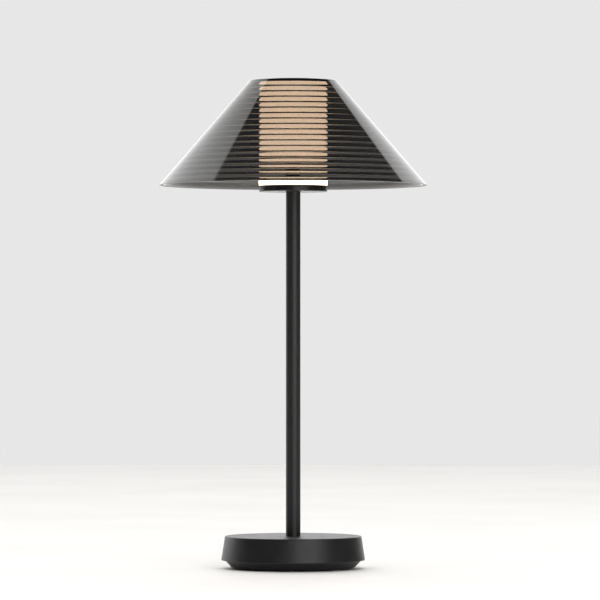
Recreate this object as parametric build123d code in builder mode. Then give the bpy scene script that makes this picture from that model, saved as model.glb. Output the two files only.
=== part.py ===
from build123d import *
import os
from math import atan, cos, radians, sqrt, tan

# Cordless solar table lantern: a round weighted base, a thin stem, a lit drum with a
# solar panel on top, and a smoked conical shade that rests on the drum's upper rim.
# Millimetres. +Z is up, the origin is on the floor under the stem, the front is -Y and
# the charging port and the switch are at the rear, +Y.

os.makedirs("parts", exist_ok=True)

# ---- Driving dimensions: whole lamp -------------------------------------------------
lamp_height = 400.0  # floor to the shade's top face
base_height = 26.6  # floor to the base's top face

# ---- Clearances ---------------------------------------------------------------------
bonded_gap = 0.05  # radial gap of glued and screwed fits
plug_gap = 0.2  # radial gap of a moulded plug in its sleeve
moving_gap = 0.3  # between bodies that move past each other
button_gap = 0.25  # round the push button
running_gap = 0.05  # radial gap of the flap's trunnions
seat_gap = 0.1  # round an inserted panel or pad

# ---- Shade --------------------------------------------------------------------------
shade_height = 86.0
shade_rim_radius = 109.9
shade_top_radius = 35.5
shade_wall = 2.2  # between the ribs, square to the surface
shade_flange = 3.0  # thickness of the flat top ring
rib_count = 18
rib_rise = 0.9  # how far each rounded rib stands inwards
shade_edge = 0.4  # rounding of the outer edges

# ---- Lit drum -----------------------------------------------------------------------
drum_radius = 28.1
diffuser_wall = 1.8
diffuser_length = 83.4
shade_seat = 1.1  # width of the diffuser's rim that carries the shade
bottom_plate = 4.9  # visible thickness of the black bottom cap
plug_length = 4.4  # bottom cap inside the diffuser
cap_proud = 0.7  # top cap above the shade's top face
cap_wall = 1.9
cap_floor = 3.0
skirt_length = 3.5  # top cap's skirt under its floor
skirt_wall = 3.1
groove_height = 1.4
groove_depth = 0.9
gasket_height = 1.2
gasket_squeeze = 0.15  # gasket stands this far out of its groove
cap_edge = 0.8

# ---- Solar panel --------------------------------------------------------------------
solar_cover_thickness = 1.5
solar_air = 0.2  # between the cells and the cover
cell_thickness = 0.3
cell_gap = 0.8  # between neighbouring cells
cell_columns = 6
cell_margin = 1.2  # bare edge of the board
solar_board_thickness = 1.2

# ---- Light engine -------------------------------------------------------------------
core_across_flats = 21.0
core_bore_radius = 8.5
core_screw_circle = 10.3
core_screw_count = 3
led_board_width = 9.0
led_board_thickness = 1.2
led_board_margin = 6.0  # bare core above and below each board
led_rows = 8
led_width = 2.8
led_height = 3.5
led_depth = 0.8
driver_board_radius = 24.0
driver_board_thickness = 1.2
driver_board_gap = 1.0  # round the core's corners
resistor_length = 3.2
resistor_width = 1.6
resistor_count = 8
driver_chip_length = 5.0
driver_chip_width = 4.4
driver_chip_round = 0.4
driver_part_height = 1.5

# ---- Stem ---------------------------------------------------------------------------
stem_radius = 6.0
stem_wall = 1.0
socket_depth = 6.5
socket_floor = 3.0
stud_radius = 4.0
stud_clearance = 0.1
insert_length = 12.0
cable_bore_radius = 2.0
washer_radius = 7.8
washer_thickness = 1.0
nut_across_flats = 13.0
nut_thickness = 4.0
boss_wall = 3.4  # of the base boss round the stem

# ---- Base cover ---------------------------------------------------------------------
base_radius = 58.9  # widest, at the cover's lower edge
base_flare = 3.0  # how much wider the cover is below than at its top
cover_wall = 2.4
cover_lower_z = 7.0
cover_top_round = 0.8
cover_lower_round = 0.5
cover_boss_radius = 3.4

# ---- Base tray ----------------------------------------------------------------------
foot_proud = 1.0
tray_floor = 2.0
tray_recess = 2.7  # tray's upper edge inside the cover's widest radius
tray_bevel = 5.6  # how far the tray's side slopes in
tray_low_round = 1.2  # rounding of the slope's lower edge
tray_lip = 3.0  # height of the lip inside the cover
tray_lip_wall = 2.0
tray_lip_step = 1.0
screw_circle = 44.0
tray_screw_count = 3
tray_post_radius = 4.2
tray_post_height = 5.0
tray_screw_seat = 1.5  # each screw's head bears this far above the tray's floor

# ---- Feet and screws ----------------------------------------------------------------
foot_radius = 5.0
foot_circle = 38.0
foot_count = 4
foot_recess = 0.6
foot_round = 0.4
head_round_share = 0.3  # rounding of a pan head against its height
drive_span_share = 1.3  # cross recess against the head's radius
m3_radius = 1.5
m3_head_radius = 2.8
m3_head_height = 2.2
tray_screw_length = 14.0
ballast_screw_length = 8.0
countersink_angle = 82  # degrees, full cone of the ballast screws' heads
m2_radius = 1.0
m2_head_radius = 1.9
m2_head_height = 1.3
board_screw_length = 5.0
screw_spare = 2.0  # hole past the tip of a tray screw
core_screw_radius = 1.25
core_head_radius = 2.25
core_head_height = 1.6
core_screw_grip = 7.0  # length in the core
drive_width = 0.6  # cross recess
drive_depth = 0.7

# ---- Ballast ------------------------------------------------------------------------
ballast_thickness = 18.0
ballast_inner_x = 20.0
ballast_gap = 1.0
ballast_edge = 0.5
ballast_screw_x = 30.0
ballast_screw_ys = (-3.0, 14.0)

# ---- Battery ------------------------------------------------------------------------
cell_radius = 9.1
cell_length = 65.0
cell_nub_radius = 3.0
cell_nub_height = 1.0
holder_wall = 1.2
holder_gap = 0.2
holder_end_gap = 1.4
holder_height = 11.0
holder_stand_off = 2.3  # from the stem boss to the holder
contact_thickness = 0.4
contact_width = 9.0
contact_height = 8.0
contact_pip_radius = 2.0
lead_radius = 0.7
lead_x = 9.0
lead_z = 5.2

# ---- Control board ------------------------------------------------------------------
board_width = 36.0
board_depth = 25.6
board_thickness = 1.6
board_corner = 1.5
board_post_height = 7.0
board_post_radius = 2.4
board_post_x = 15.0
board_post_inset = 4.0
board_post_rear_inset = 9.5
connector_width = 8.0
connector_depth = 5.0
connector_height = 5.0
lead_connector_width = 5.0
cable_radius = 1.0
cable_drop = 4.0  # cable's exit below the board
chip_x = 7.5  # charge controller
chip_from_front = 9.0
chip_side = 7.0
chip_round = 0.3
diode_x = -5.5
diode_from_front = 13.0
diode_width = 4.0
diode_length = 5.0
row_x = 8.0  # row of small capacitors
row_from_front = 3.0
row_pitch = 2.6
row_count = 4
row_width = 1.2
row_length = 2.0
low_part_height = 1.4
coil_from_front = 6.0
coil_side = 6.4
coil_round = 1.2
can_x = 0.6  # capacitor can
can_from_front = 14.0
can_radius = 2.0
tall_part_height = 3.2

# ---- Rear panel ---------------------------------------------------------------------
panel_half_width = 17.0
panel_height = 9.6
panel_lower_z = 8.8
panel_thickness = 3.1
panel_flange = 1.2
panel_flange_side = 1.0
panel_flange_rise = 1.3
panel_set_back = 0.3
panel_edge = 0.4

# ---- Charging port (USB-C receptacle) -----------------------------------------------
port_x = -7.0
port_width = 8.94
port_height = 3.26
port_depth = 7.35
port_shell = 0.3
port_mouth_set_back = 1.3
port_tongue_width = 6.69
port_tongue_thickness = 0.7
port_tongue_length = 5.2
port_back_wall = 1.0
port_hole_gap = 0.27

# ---- Port flap ----------------------------------------------------------------------
flap_hinge_x = -14.2
flap_hinge_depth = 0.7  # hinge axis behind the panel's face
flap_barrel_radius = 1.1
flap_pin_radius = 0.8
flap_pin_length = 0.6
flap_height = 6.0
flap_thickness = 1.2
flap_free_x = -1.8
flap_tail = 0.8  # plate past the hinge axis
flap_lip_width = 7.8
flap_lip_height = 2.1
flap_lip_depth = 0.9
flap_grip_width = 1.2
flap_grip_height = 0.6

# ---- Button and switch --------------------------------------------------------------
button_x = 8.0
button_z = 14.0
button_radius = 4.0
button_proud = 1.7
button_flange_radius = 4.8
button_flange_thickness = 0.8
button_travel = 1.2
button_pin_radius = 1.4
button_dish_depth = 0.3
button_dish_radius = 3.0
button_edge = 0.4
switch_width = 7.0
switch_depth = 5.0
switch_bore_depth = 3.4
plunger_radius = 1.0
plunger_length = 3.1
plunger_gap = 0.1
switch_stop_gap = 0.15

# ---- Charge light -------------------------------------------------------------------
light_pipe_x = 0.6
light_pipe_radius = 1.0
light_pipe_length = 6.8

# ---- Heights and radii worked out from the sizes above --------------------------------
shade_rim_z = lamp_height - shade_height
seat_z = lamp_height - shade_flange  # the shade rests here, on the diffuser's rim
diffuser_low_z = seat_z - diffuser_length
bottom_cap_z = diffuser_low_z - bottom_plate
plug_top_z = diffuser_low_z + plug_length
cap_top_z = lamp_height + cap_proud
solar_stack = solar_cover_thickness + solar_air + cell_thickness + solar_board_thickness
cap_floor_top_z = cap_top_z - solar_stack
cap_floor_low_z = cap_floor_top_z - cap_floor
skirt_low_z = cap_floor_low_z - skirt_length

diffuser_bore = drum_radius - diffuser_wall
shade_hole_radius = drum_radius - shade_seat
cap_radius = shade_hole_radius - moving_gap
plug_radius = diffuser_bore - plug_gap
cap_recess_radius = cap_radius - cap_wall
solar_radius = cap_recess_radius - seat_gap
core_corner_radius = core_across_flats / sqrt(3)
core_flat = core_across_flats / 2

base_socket_z = base_height - socket_depth
base_boss_z = base_socket_z - socket_floor
head_socket_z = bottom_cap_z + socket_depth
lower_nut_z = base_boss_z - washer_thickness - nut_thickness
upper_nut_z = plug_top_z + washer_thickness
socket_radius = stem_radius + bonded_gap
stud_hole_radius = stud_radius + stud_clearance
boss_radius = socket_radius + boss_wall
nut_corner_radius = nut_across_flats / sqrt(3)

tray_low_z = foot_proud
tray_floor_z = tray_low_z + tray_floor
tray_edge_radius = base_radius - tray_recess
tray_low_radius = tray_edge_radius - tray_bevel
tray_lip_radius = tray_edge_radius - tray_lip_step
tray_lip_top_z = cover_lower_z + tray_lip
tray_inner_low_radius = tray_low_radius - tray_lip_step
tray_post_top_z = tray_floor_z + tray_post_height
cover_under_z = base_height - cover_wall
tray_screw_head_z = tray_floor_z + tray_screw_seat
boss_hole_depth = tray_screw_head_z + tray_screw_length + screw_spare - tray_post_top_z

board_z = tray_floor_z + board_post_height
board_top_z = board_z + board_thickness
port_z = board_top_z + port_height / 2
cable_z = board_z - cable_drop


def cover_radius(z):
    """Outer radius of the flared base cover at a height."""
    share = (base_height - z) / (base_height - cover_lower_z)
    return base_radius - base_flare + base_flare * share


def arc_y(radius, x):
    """Y of a circle about the lamp's axis at a given X."""
    return sqrt(radius**2 - x**2)


panel_top_z = panel_lower_z + panel_height
panel_y = arc_y(cover_radius(panel_top_z), panel_half_width) - panel_set_back
panel_back_y = panel_y - panel_thickness
flange_back_y = panel_back_y - panel_flange
board_rear_y = flange_back_y - moving_gap
board_y = board_rear_y - board_depth / 2
board_front_y = board_rear_y - board_depth
battery_y = -(boss_radius + holder_stand_off + holder_wall + holder_gap + cell_radius)
battery_z = tray_floor_z + holder_wall + holder_gap + cell_radius
holder_half_length = cell_length / 2 + holder_end_gap + holder_wall
holder_half_width = cell_radius + holder_gap + holder_wall
holder_rear_y = battery_y + holder_half_width

lamp = {}  # every finished piece by its node name


# ---- Shared fasteners ------------------------------------------------------------------
def pan_screw(radius, length, head_radius, head_height):
    """Pan-head screw, head up: its shank hangs from the origin plane."""
    with BuildPart() as screw:
        Cylinder(radius, length, align=(Align.CENTER, Align.CENTER, Align.MAX))
        Cylinder(head_radius, head_height, align=(Align.CENTER, Align.CENTER, Align.MIN))
        fillet(screw.edges().group_by(Axis.Z)[-1], head_height * head_round_share)
        with BuildSketch(Plane.XY.offset(head_height)):
            Rectangle(head_radius * drive_span_share, drive_width)
            Rectangle(drive_width, head_radius * drive_span_share)
        extrude(amount=-drive_depth, mode=Mode.SUBTRACT)
    return screw.part


def copies(shape, places):
    """One node that holds a separate copy of a shape at each place."""
    with BuildPart() as group:
        with Locations(*places):
            add(shape)
    return group


def upside_down(x, y, z):
    """Place at a point, turned over, for screws driven from below."""
    return Location((x, y, z), (180, 0, 0))


def polar_points(radius, count, start):
    """Points on a circle about the lamp's axis."""
    return [place.position for place in PolarLocations(radius, count, start).locations]


def hollow_stud(low_z, high_z, plug_low_z, plug_high_z):
    """Threaded hollow stud with a wider plug that is brazed into the stem."""
    with BuildPart() as stud:
        with BuildSketch(Plane.XY.offset(low_z)):
            Circle(stud_radius)
        extrude(amount=high_z - low_z)
        with BuildSketch(Plane.XY.offset(plug_low_z)):
            Circle(stem_radius - stem_wall - bonded_gap)
        extrude(amount=plug_high_z - plug_low_z)
        with BuildSketch(Plane.XY.offset(low_z)):
            Circle(cable_bore_radius)
        extrude(amount=high_z - low_z, mode=Mode.SUBTRACT)
        chamfer(stud.edges().group_by(Axis.Z)[0], bonded_gap * 4)
    return stud


def ring(inner, outer, low_z, height):
    """Flat ring about the lamp's axis."""
    with BuildPart() as band:
        with BuildSketch(Plane.XY.offset(low_z)):
            Circle(outer)
            Circle(inner, mode=Mode.SUBTRACT)
        extrude(amount=height)
    return band


def hex_nut(low_z):
    """Thin hexagon nut on the stem's stud."""
    with BuildPart() as nut:
        with BuildSketch(Plane.XY.offset(low_z)):
            RegularPolygon(nut_corner_radius, 6)
            Circle(stud_radius + bonded_gap, mode=Mode.SUBTRACT)
        extrude(amount=nut_thickness)
    return nut


# ---- Shade: smooth outside, rounded horizontal ribs inside -----------------------------
half_angle = atan((shade_rim_radius - shade_top_radius) / shade_height)
wall_across = shade_wall / cos(half_angle)  # wall measured level


def shade_inner(z):
    """Radius of the inner cone, in the valleys between ribs."""
    widening = (shade_rim_radius - shade_top_radius) / shade_height
    return shade_top_radius + (lamp_height - z) * widening - wall_across


rib_pitch = (seat_z - shade_rim_z) / rib_count
valleys = [
    (shade_inner(shade_rim_z + i * rib_pitch), shade_rim_z + i * rib_pitch)
    for i in range(rib_count + 1)
]

with BuildPart() as shade:
    with BuildSketch(Plane.XZ):
        with BuildLine():
            Polyline(
                valleys[-1],
                (shade_hole_radius, seat_z),
                (shade_hole_radius, lamp_height),
                (shade_top_radius, lamp_height),
                (shade_rim_radius, shade_rim_z),
                valleys[0],
            )
            for low, high in zip(valleys, valleys[1:]):
                SagittaArc(low, high, rib_rise)
        make_face()
    revolve(axis=Axis.Z)
    outer_edges = shade.edges().filter_by(GeomType.CIRCLE).sort_by(SortBy.RADIUS)
    fillet(outer_edges[-1], shade_edge)
    top_edges = shade.edges().filter_by(GeomType.CIRCLE).group_by(Axis.Z)[-1]
    fillet(top_edges, shade_edge)
lamp["shade"] = shade

# ---- Diffuser: opal tube between the two caps -------------------------------------------
diffuser = ring(diffuser_bore, drum_radius, diffuser_low_z, diffuser_length)
lamp["diffuser"] = diffuser

# ---- Top cap: holds the solar panel and plugs the diffuser -------------------------------
core_screw_points = polar_points(core_screw_circle, core_screw_count, 30)
groove_z = (skirt_low_z + cap_floor_low_z) / 2 - groove_height / 2

with BuildPart() as top_cap:
    with BuildSketch(Plane.XZ):
        with BuildLine():
            Polyline(
                (0, cap_floor_low_z),
                (plug_radius - skirt_wall, cap_floor_low_z),
                (plug_radius - skirt_wall, skirt_low_z),
                (plug_radius, skirt_low_z),
                (plug_radius, groove_z),
                (plug_radius - groove_depth, groove_z),
                (plug_radius - groove_depth, groove_z + groove_height),
                (plug_radius, groove_z + groove_height),
                (plug_radius, seat_z),
                (cap_radius, seat_z),
                (cap_radius, cap_top_z),
                (cap_recess_radius, cap_top_z),
                (cap_recess_radius, cap_floor_top_z),
                (0, cap_floor_top_z),
                close=True,
            )
        make_face()
    revolve(axis=Axis.Z)
    rim_edges = top_cap.edges().filter_by(GeomType.CIRCLE).group_by(Axis.Z)[-1]
    fillet(rim_edges.sort_by(SortBy.RADIUS)[-1], cap_edge / 2)
    with BuildSketch(Plane.XY.offset(cap_floor_low_z)):
        Circle(cable_bore_radius)
        with Locations(*core_screw_points):
            Circle(core_screw_radius + bonded_gap)
    extrude(amount=cap_floor, mode=Mode.SUBTRACT)
    with BuildSketch(Plane.XY.offset(cap_floor_top_z)):
        with Locations(*core_screw_points):
            Circle(core_head_radius + plug_gap)
    extrude(amount=-core_head_height - plug_gap, mode=Mode.SUBTRACT)
lamp["top_cap"] = top_cap

gasket_inner = plug_radius - groove_depth + bonded_gap
gasket_outer = plug_radius + gasket_squeeze
gasket_inset = (groove_height - gasket_height) / 2
lamp["top_gasket"] = ring(gasket_inner, gasket_outer, groove_z + gasket_inset, gasket_height)

# ---- Solar panel: board, cells and clear cover in the top cap's recess --------------------
solar_board_top_z = cap_floor_top_z + solar_board_thickness
with BuildPart() as solar_board:
    with BuildSketch(Plane.XY.offset(cap_floor_top_z)):
        Circle(solar_radius)
    extrude(amount=solar_board_thickness)
lamp["solar_board"] = solar_board

cell_field = solar_radius - cell_margin
cell_pitch = 2 * cell_field / cell_columns
with BuildPart() as solar_cells:
    with BuildSketch(Plane.XY.offset(solar_board_top_z)):
        Circle(cell_field)
        with GridLocations(cell_pitch, 0, cell_columns - 1, 1):
            Rectangle(cell_gap, 2 * solar_radius, mode=Mode.SUBTRACT)
        Rectangle(2 * solar_radius, cell_gap, mode=Mode.SUBTRACT)
    extrude(amount=cell_thickness)
lamp["solar_cells"] = solar_cells

with BuildPart() as solar_cover:
    with BuildSketch(Plane.XY.offset(cap_top_z - solar_cover_thickness)):
        Circle(solar_radius)
    extrude(amount=solar_cover_thickness)
    chamfer(solar_cover.edges().group_by(Axis.Z)[-1], seat_gap * 2)
lamp["solar_cover"] = solar_cover

# ---- Bottom cap: socket for the stem, plug for the diffuser -------------------------------
low_groove_z = diffuser_low_z + (plug_length - groove_height) / 2
with BuildPart() as bottom_cap:
    with BuildSketch(Plane.XZ):
        with BuildLine():
            Polyline(
                (0, bottom_cap_z),
                (drum_radius, bottom_cap_z),
                (drum_radius, diffuser_low_z),
                (plug_radius, diffuser_low_z),
                (plug_radius, low_groove_z),
                (plug_radius - groove_depth, low_groove_z),
                (plug_radius - groove_depth, low_groove_z + groove_height),
                (plug_radius, low_groove_z + groove_height),
                (plug_radius, plug_top_z),
                (0, plug_top_z),
                close=True,
            )
        make_face()
    revolve(axis=Axis.Z)
    fillet(bottom_cap.edges().group_by(Axis.Z)[0], cap_edge)
    with BuildSketch(Plane.XY.offset(bottom_cap_z)):
        Circle(socket_radius)
    extrude(amount=socket_depth, mode=Mode.SUBTRACT)
    with BuildSketch(Plane.XY.offset(bottom_cap_z)):
        Circle(stud_hole_radius)
        with Locations(*core_screw_points):
            Circle(core_screw_radius + bonded_gap)
    extrude(amount=plug_top_z - bottom_cap_z, mode=Mode.SUBTRACT)
    with BuildSketch(Plane.XY.offset(bottom_cap_z)):
        with Locations(*core_screw_points):
            Circle(core_head_radius + plug_gap)
    extrude(amount=core_head_height + plug_gap, mode=Mode.SUBTRACT)
lamp["bottom_cap"] = bottom_cap
lamp["bottom_gasket"] = ring(
    gasket_inner, gasket_outer, low_groove_z + gasket_inset, gasket_height
)

# ---- Light engine: hexagonal aluminium core with six lit boards ---------------------------
core_length = cap_floor_low_z - plug_top_z
with BuildPart() as led_core:
    with BuildSketch(Plane.XY.offset(plug_top_z)):
        RegularPolygon(core_corner_radius, 6, rotation=30)
        Circle(core_bore_radius, mode=Mode.SUBTRACT)
        with Locations(*core_screw_points):
            Circle(core_screw_radius + bonded_gap, mode=Mode.SUBTRACT)
    extrude(amount=core_length)
lamp["led_core"] = led_core

led_board_length = core_length - 2 * led_board_margin
core_middle_z = plug_top_z + core_length / 2
board_face = core_flat + led_board_thickness
led_pitch = led_board_length / led_rows
with BuildPart() as led_board_blank:
    with Locations((core_flat + led_board_thickness / 2, 0, core_middle_z)):
        Box(led_board_thickness, led_board_width, led_board_length)
with BuildPart() as led_row_blank:
    with BuildSketch(Plane.YZ.offset(board_face)):
        with Locations((0, core_middle_z)):
            with GridLocations(0, led_pitch, 1, led_rows):
                Rectangle(led_width, led_height)
    extrude(amount=led_depth)

with BuildPart() as led_boards:
    with PolarLocations(0, 6):
        add(led_board_blank.part)
lamp["led_boards"] = led_boards
with BuildPart() as led_chips:
    with PolarLocations(0, 6):
        add(led_row_blank.part)
lamp["led_chips"] = led_chips

lamp["driver_board"] = ring(
    core_corner_radius + driver_board_gap, driver_board_radius, plug_top_z, driver_board_thickness
)
driver_top_z = plug_top_z + driver_board_thickness
driver_middle = (core_corner_radius + driver_board_gap + driver_board_radius) / 2
with BuildPart() as driver_components:
    with BuildSketch(Plane.XY.offset(driver_top_z)):
        with PolarLocations(driver_middle, resistor_count):
            Rectangle(resistor_length, resistor_width)
        with PolarLocations(driver_middle, 2, 180 / resistor_count):
            RectangleRounded(driver_chip_length, driver_chip_width, driver_chip_round)
    extrude(amount=driver_part_height)
lamp["driver_components"] = driver_components

core_screw_top = pan_screw(
    core_screw_radius,
    core_screw_grip + cap_floor - core_head_height - plug_gap,
    core_head_radius,
    core_head_height,
)
top_head_z = cap_floor_top_z - core_head_height - plug_gap
lamp["top_core_screws"] = copies(
    core_screw_top, [Location((p.X, p.Y, top_head_z)) for p in core_screw_points]
)
bottom_head_z = bottom_cap_z + core_head_height + plug_gap
core_screw_bottom = pan_screw(
    core_screw_radius,
    core_screw_grip + plug_top_z - bottom_head_z,
    core_head_radius,
    core_head_height,
)
lamp["bottom_core_screws"] = copies(
    core_screw_bottom, [upside_down(p.X, p.Y, bottom_head_z) for p in core_screw_points]
)

# ---- Stem: tube with a threaded stud in each end ------------------------------------------
with BuildPart() as stem:
    with BuildSketch(Plane.XY.offset(base_socket_z)):
        Circle(stem_radius)
        Circle(stem_radius - stem_wall, mode=Mode.SUBTRACT)
    extrude(amount=head_socket_z - base_socket_z)
lamp["stem"] = stem
lamp["stem_lower_stud"] = hollow_stud(
    lower_nut_z, base_socket_z + insert_length, base_socket_z, base_socket_z + insert_length
)
lamp["stem_upper_stud"] = hollow_stud(
    head_socket_z - insert_length,
    upper_nut_z + nut_thickness,
    head_socket_z - insert_length,
    head_socket_z,
)
washer_bore = stud_radius + stud_clearance
lamp["stem_lower_washer"] = ring(
    washer_bore, washer_radius, base_boss_z - washer_thickness, washer_thickness
)
lamp["stem_upper_washer"] = ring(washer_bore, washer_radius, plug_top_z, washer_thickness)
lamp["stem_lower_nut"] = hex_nut(lower_nut_z)
lamp["stem_upper_nut"] = hex_nut(upper_nut_z)

# ---- Base cover: flared shell with the stem socket and three screw bosses -------------------
tray_screw_points = polar_points(screw_circle, tray_screw_count, -90)
with BuildPart() as base_cover:
    with BuildSketch(Plane.XZ):
        with BuildLine():
            Polyline(
                (0, base_boss_z),
                (boss_radius, base_boss_z),
                (boss_radius, cover_under_z),
                (cover_radius(cover_under_z) - cover_wall, cover_under_z),
                (cover_radius(cover_lower_z) - cover_wall, cover_lower_z),
                (cover_radius(cover_lower_z), cover_lower_z),
                (cover_radius(base_height), base_height),
                (0, base_height),
                close=True,
            )
        make_face()
    revolve(axis=Axis.Z)
    round_edges = base_cover.edges().filter_by(GeomType.CIRCLE)
    fillet(round_edges.group_by(Axis.Z)[-1], cover_top_round)
    fillet(round_edges.sort_by(SortBy.RADIUS)[-1], cover_lower_round)
    with BuildSketch(Plane.XY.offset(base_height)):
        Circle(socket_radius)
    extrude(amount=-socket_depth, mode=Mode.SUBTRACT)
    with BuildSketch(Plane.XY.offset(base_boss_z)):
        Circle(stud_hole_radius)
    extrude(amount=socket_floor, mode=Mode.SUBTRACT)
    with BuildSketch(Plane.XY.offset(tray_post_top_z)):
        with Locations(*tray_screw_points):
            Circle(cover_boss_radius)
    extrude(amount=cover_under_z - tray_post_top_z)
    with BuildSketch(Plane.XY.offset(tray_post_top_z)):
        with Locations(*tray_screw_points):
            Circle(m3_radius + bonded_gap)
    extrude(amount=boss_hole_depth, mode=Mode.SUBTRACT)
    with BuildSketch(Plane.XZ.offset(-base_radius)):
        with Locations((0, panel_lower_z + panel_height / 2)):
            Rectangle(2 * (panel_half_width + seat_gap), panel_height + 2 * seat_gap)
    extrude(amount=base_radius - flange_back_y, mode=Mode.SUBTRACT)
lamp["base_cover"] = base_cover

# ---- Base tray: bevelled floor with posts for the screws and the board ----------------------
foot_points = polar_points(foot_circle, foot_count, 45)
ballast_screw_points = [(side * ballast_screw_x, y) for side in (-1, 1) for y in ballast_screw_ys]
board_post_ys = (board_front_y + board_post_inset, board_rear_y - board_post_rear_inset)
board_post_points = [(side * board_post_x, y) for side in (-1, 1) for y in board_post_ys]
with BuildPart() as base_tray:
    with BuildSketch(Plane.XZ):
        with BuildLine():
            Polyline(
                (0, tray_low_z),
                (tray_low_radius, tray_low_z),
                (tray_edge_radius, cover_lower_z),
                (tray_lip_radius, cover_lower_z),
                (tray_lip_radius, tray_lip_top_z),
                (tray_lip_radius - tray_lip_wall, tray_lip_top_z),
                (tray_lip_radius - tray_lip_wall, cover_lower_z),
                (tray_inner_low_radius, tray_floor_z),
                (0, tray_floor_z),
                close=True,
            )
        make_face()
    revolve(axis=Axis.Z)
    fillet(base_tray.edges().group_by(Axis.Z)[0], tray_low_round)
    with Locations((0, flange_back_y, cover_lower_z)):
        Box(
            2 * (panel_half_width + panel_flange_side + moving_gap),
            4 * panel_thickness,
            4 * tray_lip,
            align=(Align.CENTER, Align.MIN, Align.MIN),
            mode=Mode.SUBTRACT,
        )
    with BuildSketch(Plane.XY.offset(tray_floor_z)):
        with Locations(*tray_screw_points):
            Circle(tray_post_radius)
    extrude(amount=tray_post_height)
    with BuildSketch(Plane.XY.offset(tray_floor_z)):
        with Locations(*board_post_points):
            Circle(board_post_radius)
    extrude(amount=board_post_height)
    with BuildSketch(Plane.XY.offset(tray_low_z)):
        with Locations(*tray_screw_points):
            Circle(m3_radius + plug_gap)
    extrude(amount=tray_post_top_z - tray_low_z, mode=Mode.SUBTRACT)
    with BuildSketch(Plane.XY.offset(tray_low_z)):
        with Locations(*tray_screw_points):
            Circle(m3_head_radius + plug_gap)
    extrude(amount=tray_screw_head_z - tray_low_z, mode=Mode.SUBTRACT)
    with BuildSketch(Plane.XY.offset(tray_low_z)):
        with Locations(*foot_points):
            Circle(foot_radius + seat_gap)
    extrude(amount=foot_recess, mode=Mode.SUBTRACT)
    with Locations(*[upside_down(x, y, tray_low_z) for x, y in ballast_screw_points]):
        CounterSinkHole(
            m3_radius + seat_gap, m3_head_radius + seat_gap, tray_floor, countersink_angle
        )
    with BuildSketch(Plane.XY.offset(board_z)):
        with Locations(*board_post_points):
            Circle(m2_radius + bonded_gap)
    extrude(amount=-board_screw_length, mode=Mode.SUBTRACT)
lamp["base_tray"] = base_tray

# ---- Ballast: two steel blocks beside the stem boss --------------------------------------------
ballast_radius = tray_inner_low_radius - ballast_gap
ballast_front_y = holder_rear_y + ballast_gap
ballast_middle_x = ballast_inner_x + ballast_radius
ballast_middle_y = ballast_front_y + ballast_radius


def ballast_block(side):
    """Steel block on one side, cut back round the screw boss and tapped from below."""
    with BuildPart() as block:
        with BuildSketch(Plane.XY.offset(tray_floor_z)):
            Circle(ballast_radius)
            with Locations((side * ballast_middle_x, ballast_middle_y)):
                Rectangle(2 * ballast_radius, 2 * ballast_radius, mode=Mode.INTERSECT)
            with Locations(*tray_screw_points):
                Circle(tray_post_radius + ballast_gap, mode=Mode.SUBTRACT)
        extrude(amount=ballast_thickness)
        chamfer(block.faces().sort_by(Axis.Z)[-1].edges(), ballast_edge)
        with BuildSketch(Plane.XY.offset(tray_floor_z)):
            with Locations(*[(x, y) for x, y in ballast_screw_points if x * side > 0]):
                Circle(m3_radius + bonded_gap)
        extrude(amount=ballast_screw_length, mode=Mode.SUBTRACT)
    return block


lamp["ballast_left"] = ballast_block(-1)
lamp["ballast_right"] = ballast_block(1)

# ---- Screws and feet under the tray ---------------------------------------------------------------
countersink_taper = countersink_angle / 2
countersink_depth = (m3_head_radius - m3_radius) / tan(radians(countersink_taper))
with BuildPart() as ballast_screw_blank:
    with BuildSketch(Plane.XY):
        Circle(m3_head_radius)
    extrude(amount=-countersink_depth, taper=countersink_taper)
    Cylinder(
        m3_radius, ballast_screw_length, align=(Align.CENTER, Align.CENTER, Align.MAX)
    )
    with BuildSketch(Plane.XY):
        Rectangle(m3_head_radius * drive_span_share, drive_width)
        Rectangle(drive_width, m3_head_radius * drive_span_share)
    extrude(amount=-drive_depth, mode=Mode.SUBTRACT)
lamp["ballast_screws"] = copies(
    ballast_screw_blank.part, [upside_down(x, y, tray_low_z) for x, y in ballast_screw_points]
)
tray_screw_blank = pan_screw(m3_radius, tray_screw_length, m3_head_radius, m3_head_height)
lamp["tray_screws"] = copies(
    tray_screw_blank, [upside_down(p.X, p.Y, tray_screw_head_z) for p in tray_screw_points]
)
with BuildPart() as rubber_feet:
    with BuildSketch():
        with Locations(*foot_points):
            Circle(foot_radius)
    extrude(amount=foot_proud + foot_recess)
    fillet(rubber_feet.edges().group_by(Axis.Z)[0], foot_round)
lamp["rubber_feet"] = rubber_feet

# ---- Battery, its cradle and its contacts --------------------------------------------------------
with BuildPart() as battery_holder:
    with BuildSketch(Plane.XY.offset(tray_floor_z)):
        with Locations((0, battery_y)):
            Rectangle(2 * holder_half_length, 2 * holder_half_width)
    extrude(amount=holder_height)
    with BuildSketch(Plane.XY.offset(tray_floor_z + holder_wall)):
        with Locations((0, battery_y)):
            Rectangle(
                2 * (holder_half_length - holder_wall), 2 * (holder_half_width - holder_wall)
            )
    extrude(amount=holder_height, mode=Mode.SUBTRACT)
lamp["battery_holder"] = battery_holder

cell_start_x = -cell_length / 2
with BuildPart() as battery_cell:
    with BuildSketch(Plane.YZ.offset(cell_start_x)):
        with Locations((battery_y, battery_z)):
            Circle(cell_radius)
    extrude(amount=cell_length - cell_nub_height)
    fillet(battery_cell.edges().filter_by(GeomType.CIRCLE), cell_nub_height / 2)
    with BuildSketch(Plane.YZ.offset(cell_start_x + cell_length - cell_nub_height)):
        with Locations((battery_y, battery_z)):
            Circle(cell_nub_radius)
    extrude(amount=cell_nub_height)
lamp["battery_cell"] = battery_cell

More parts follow.
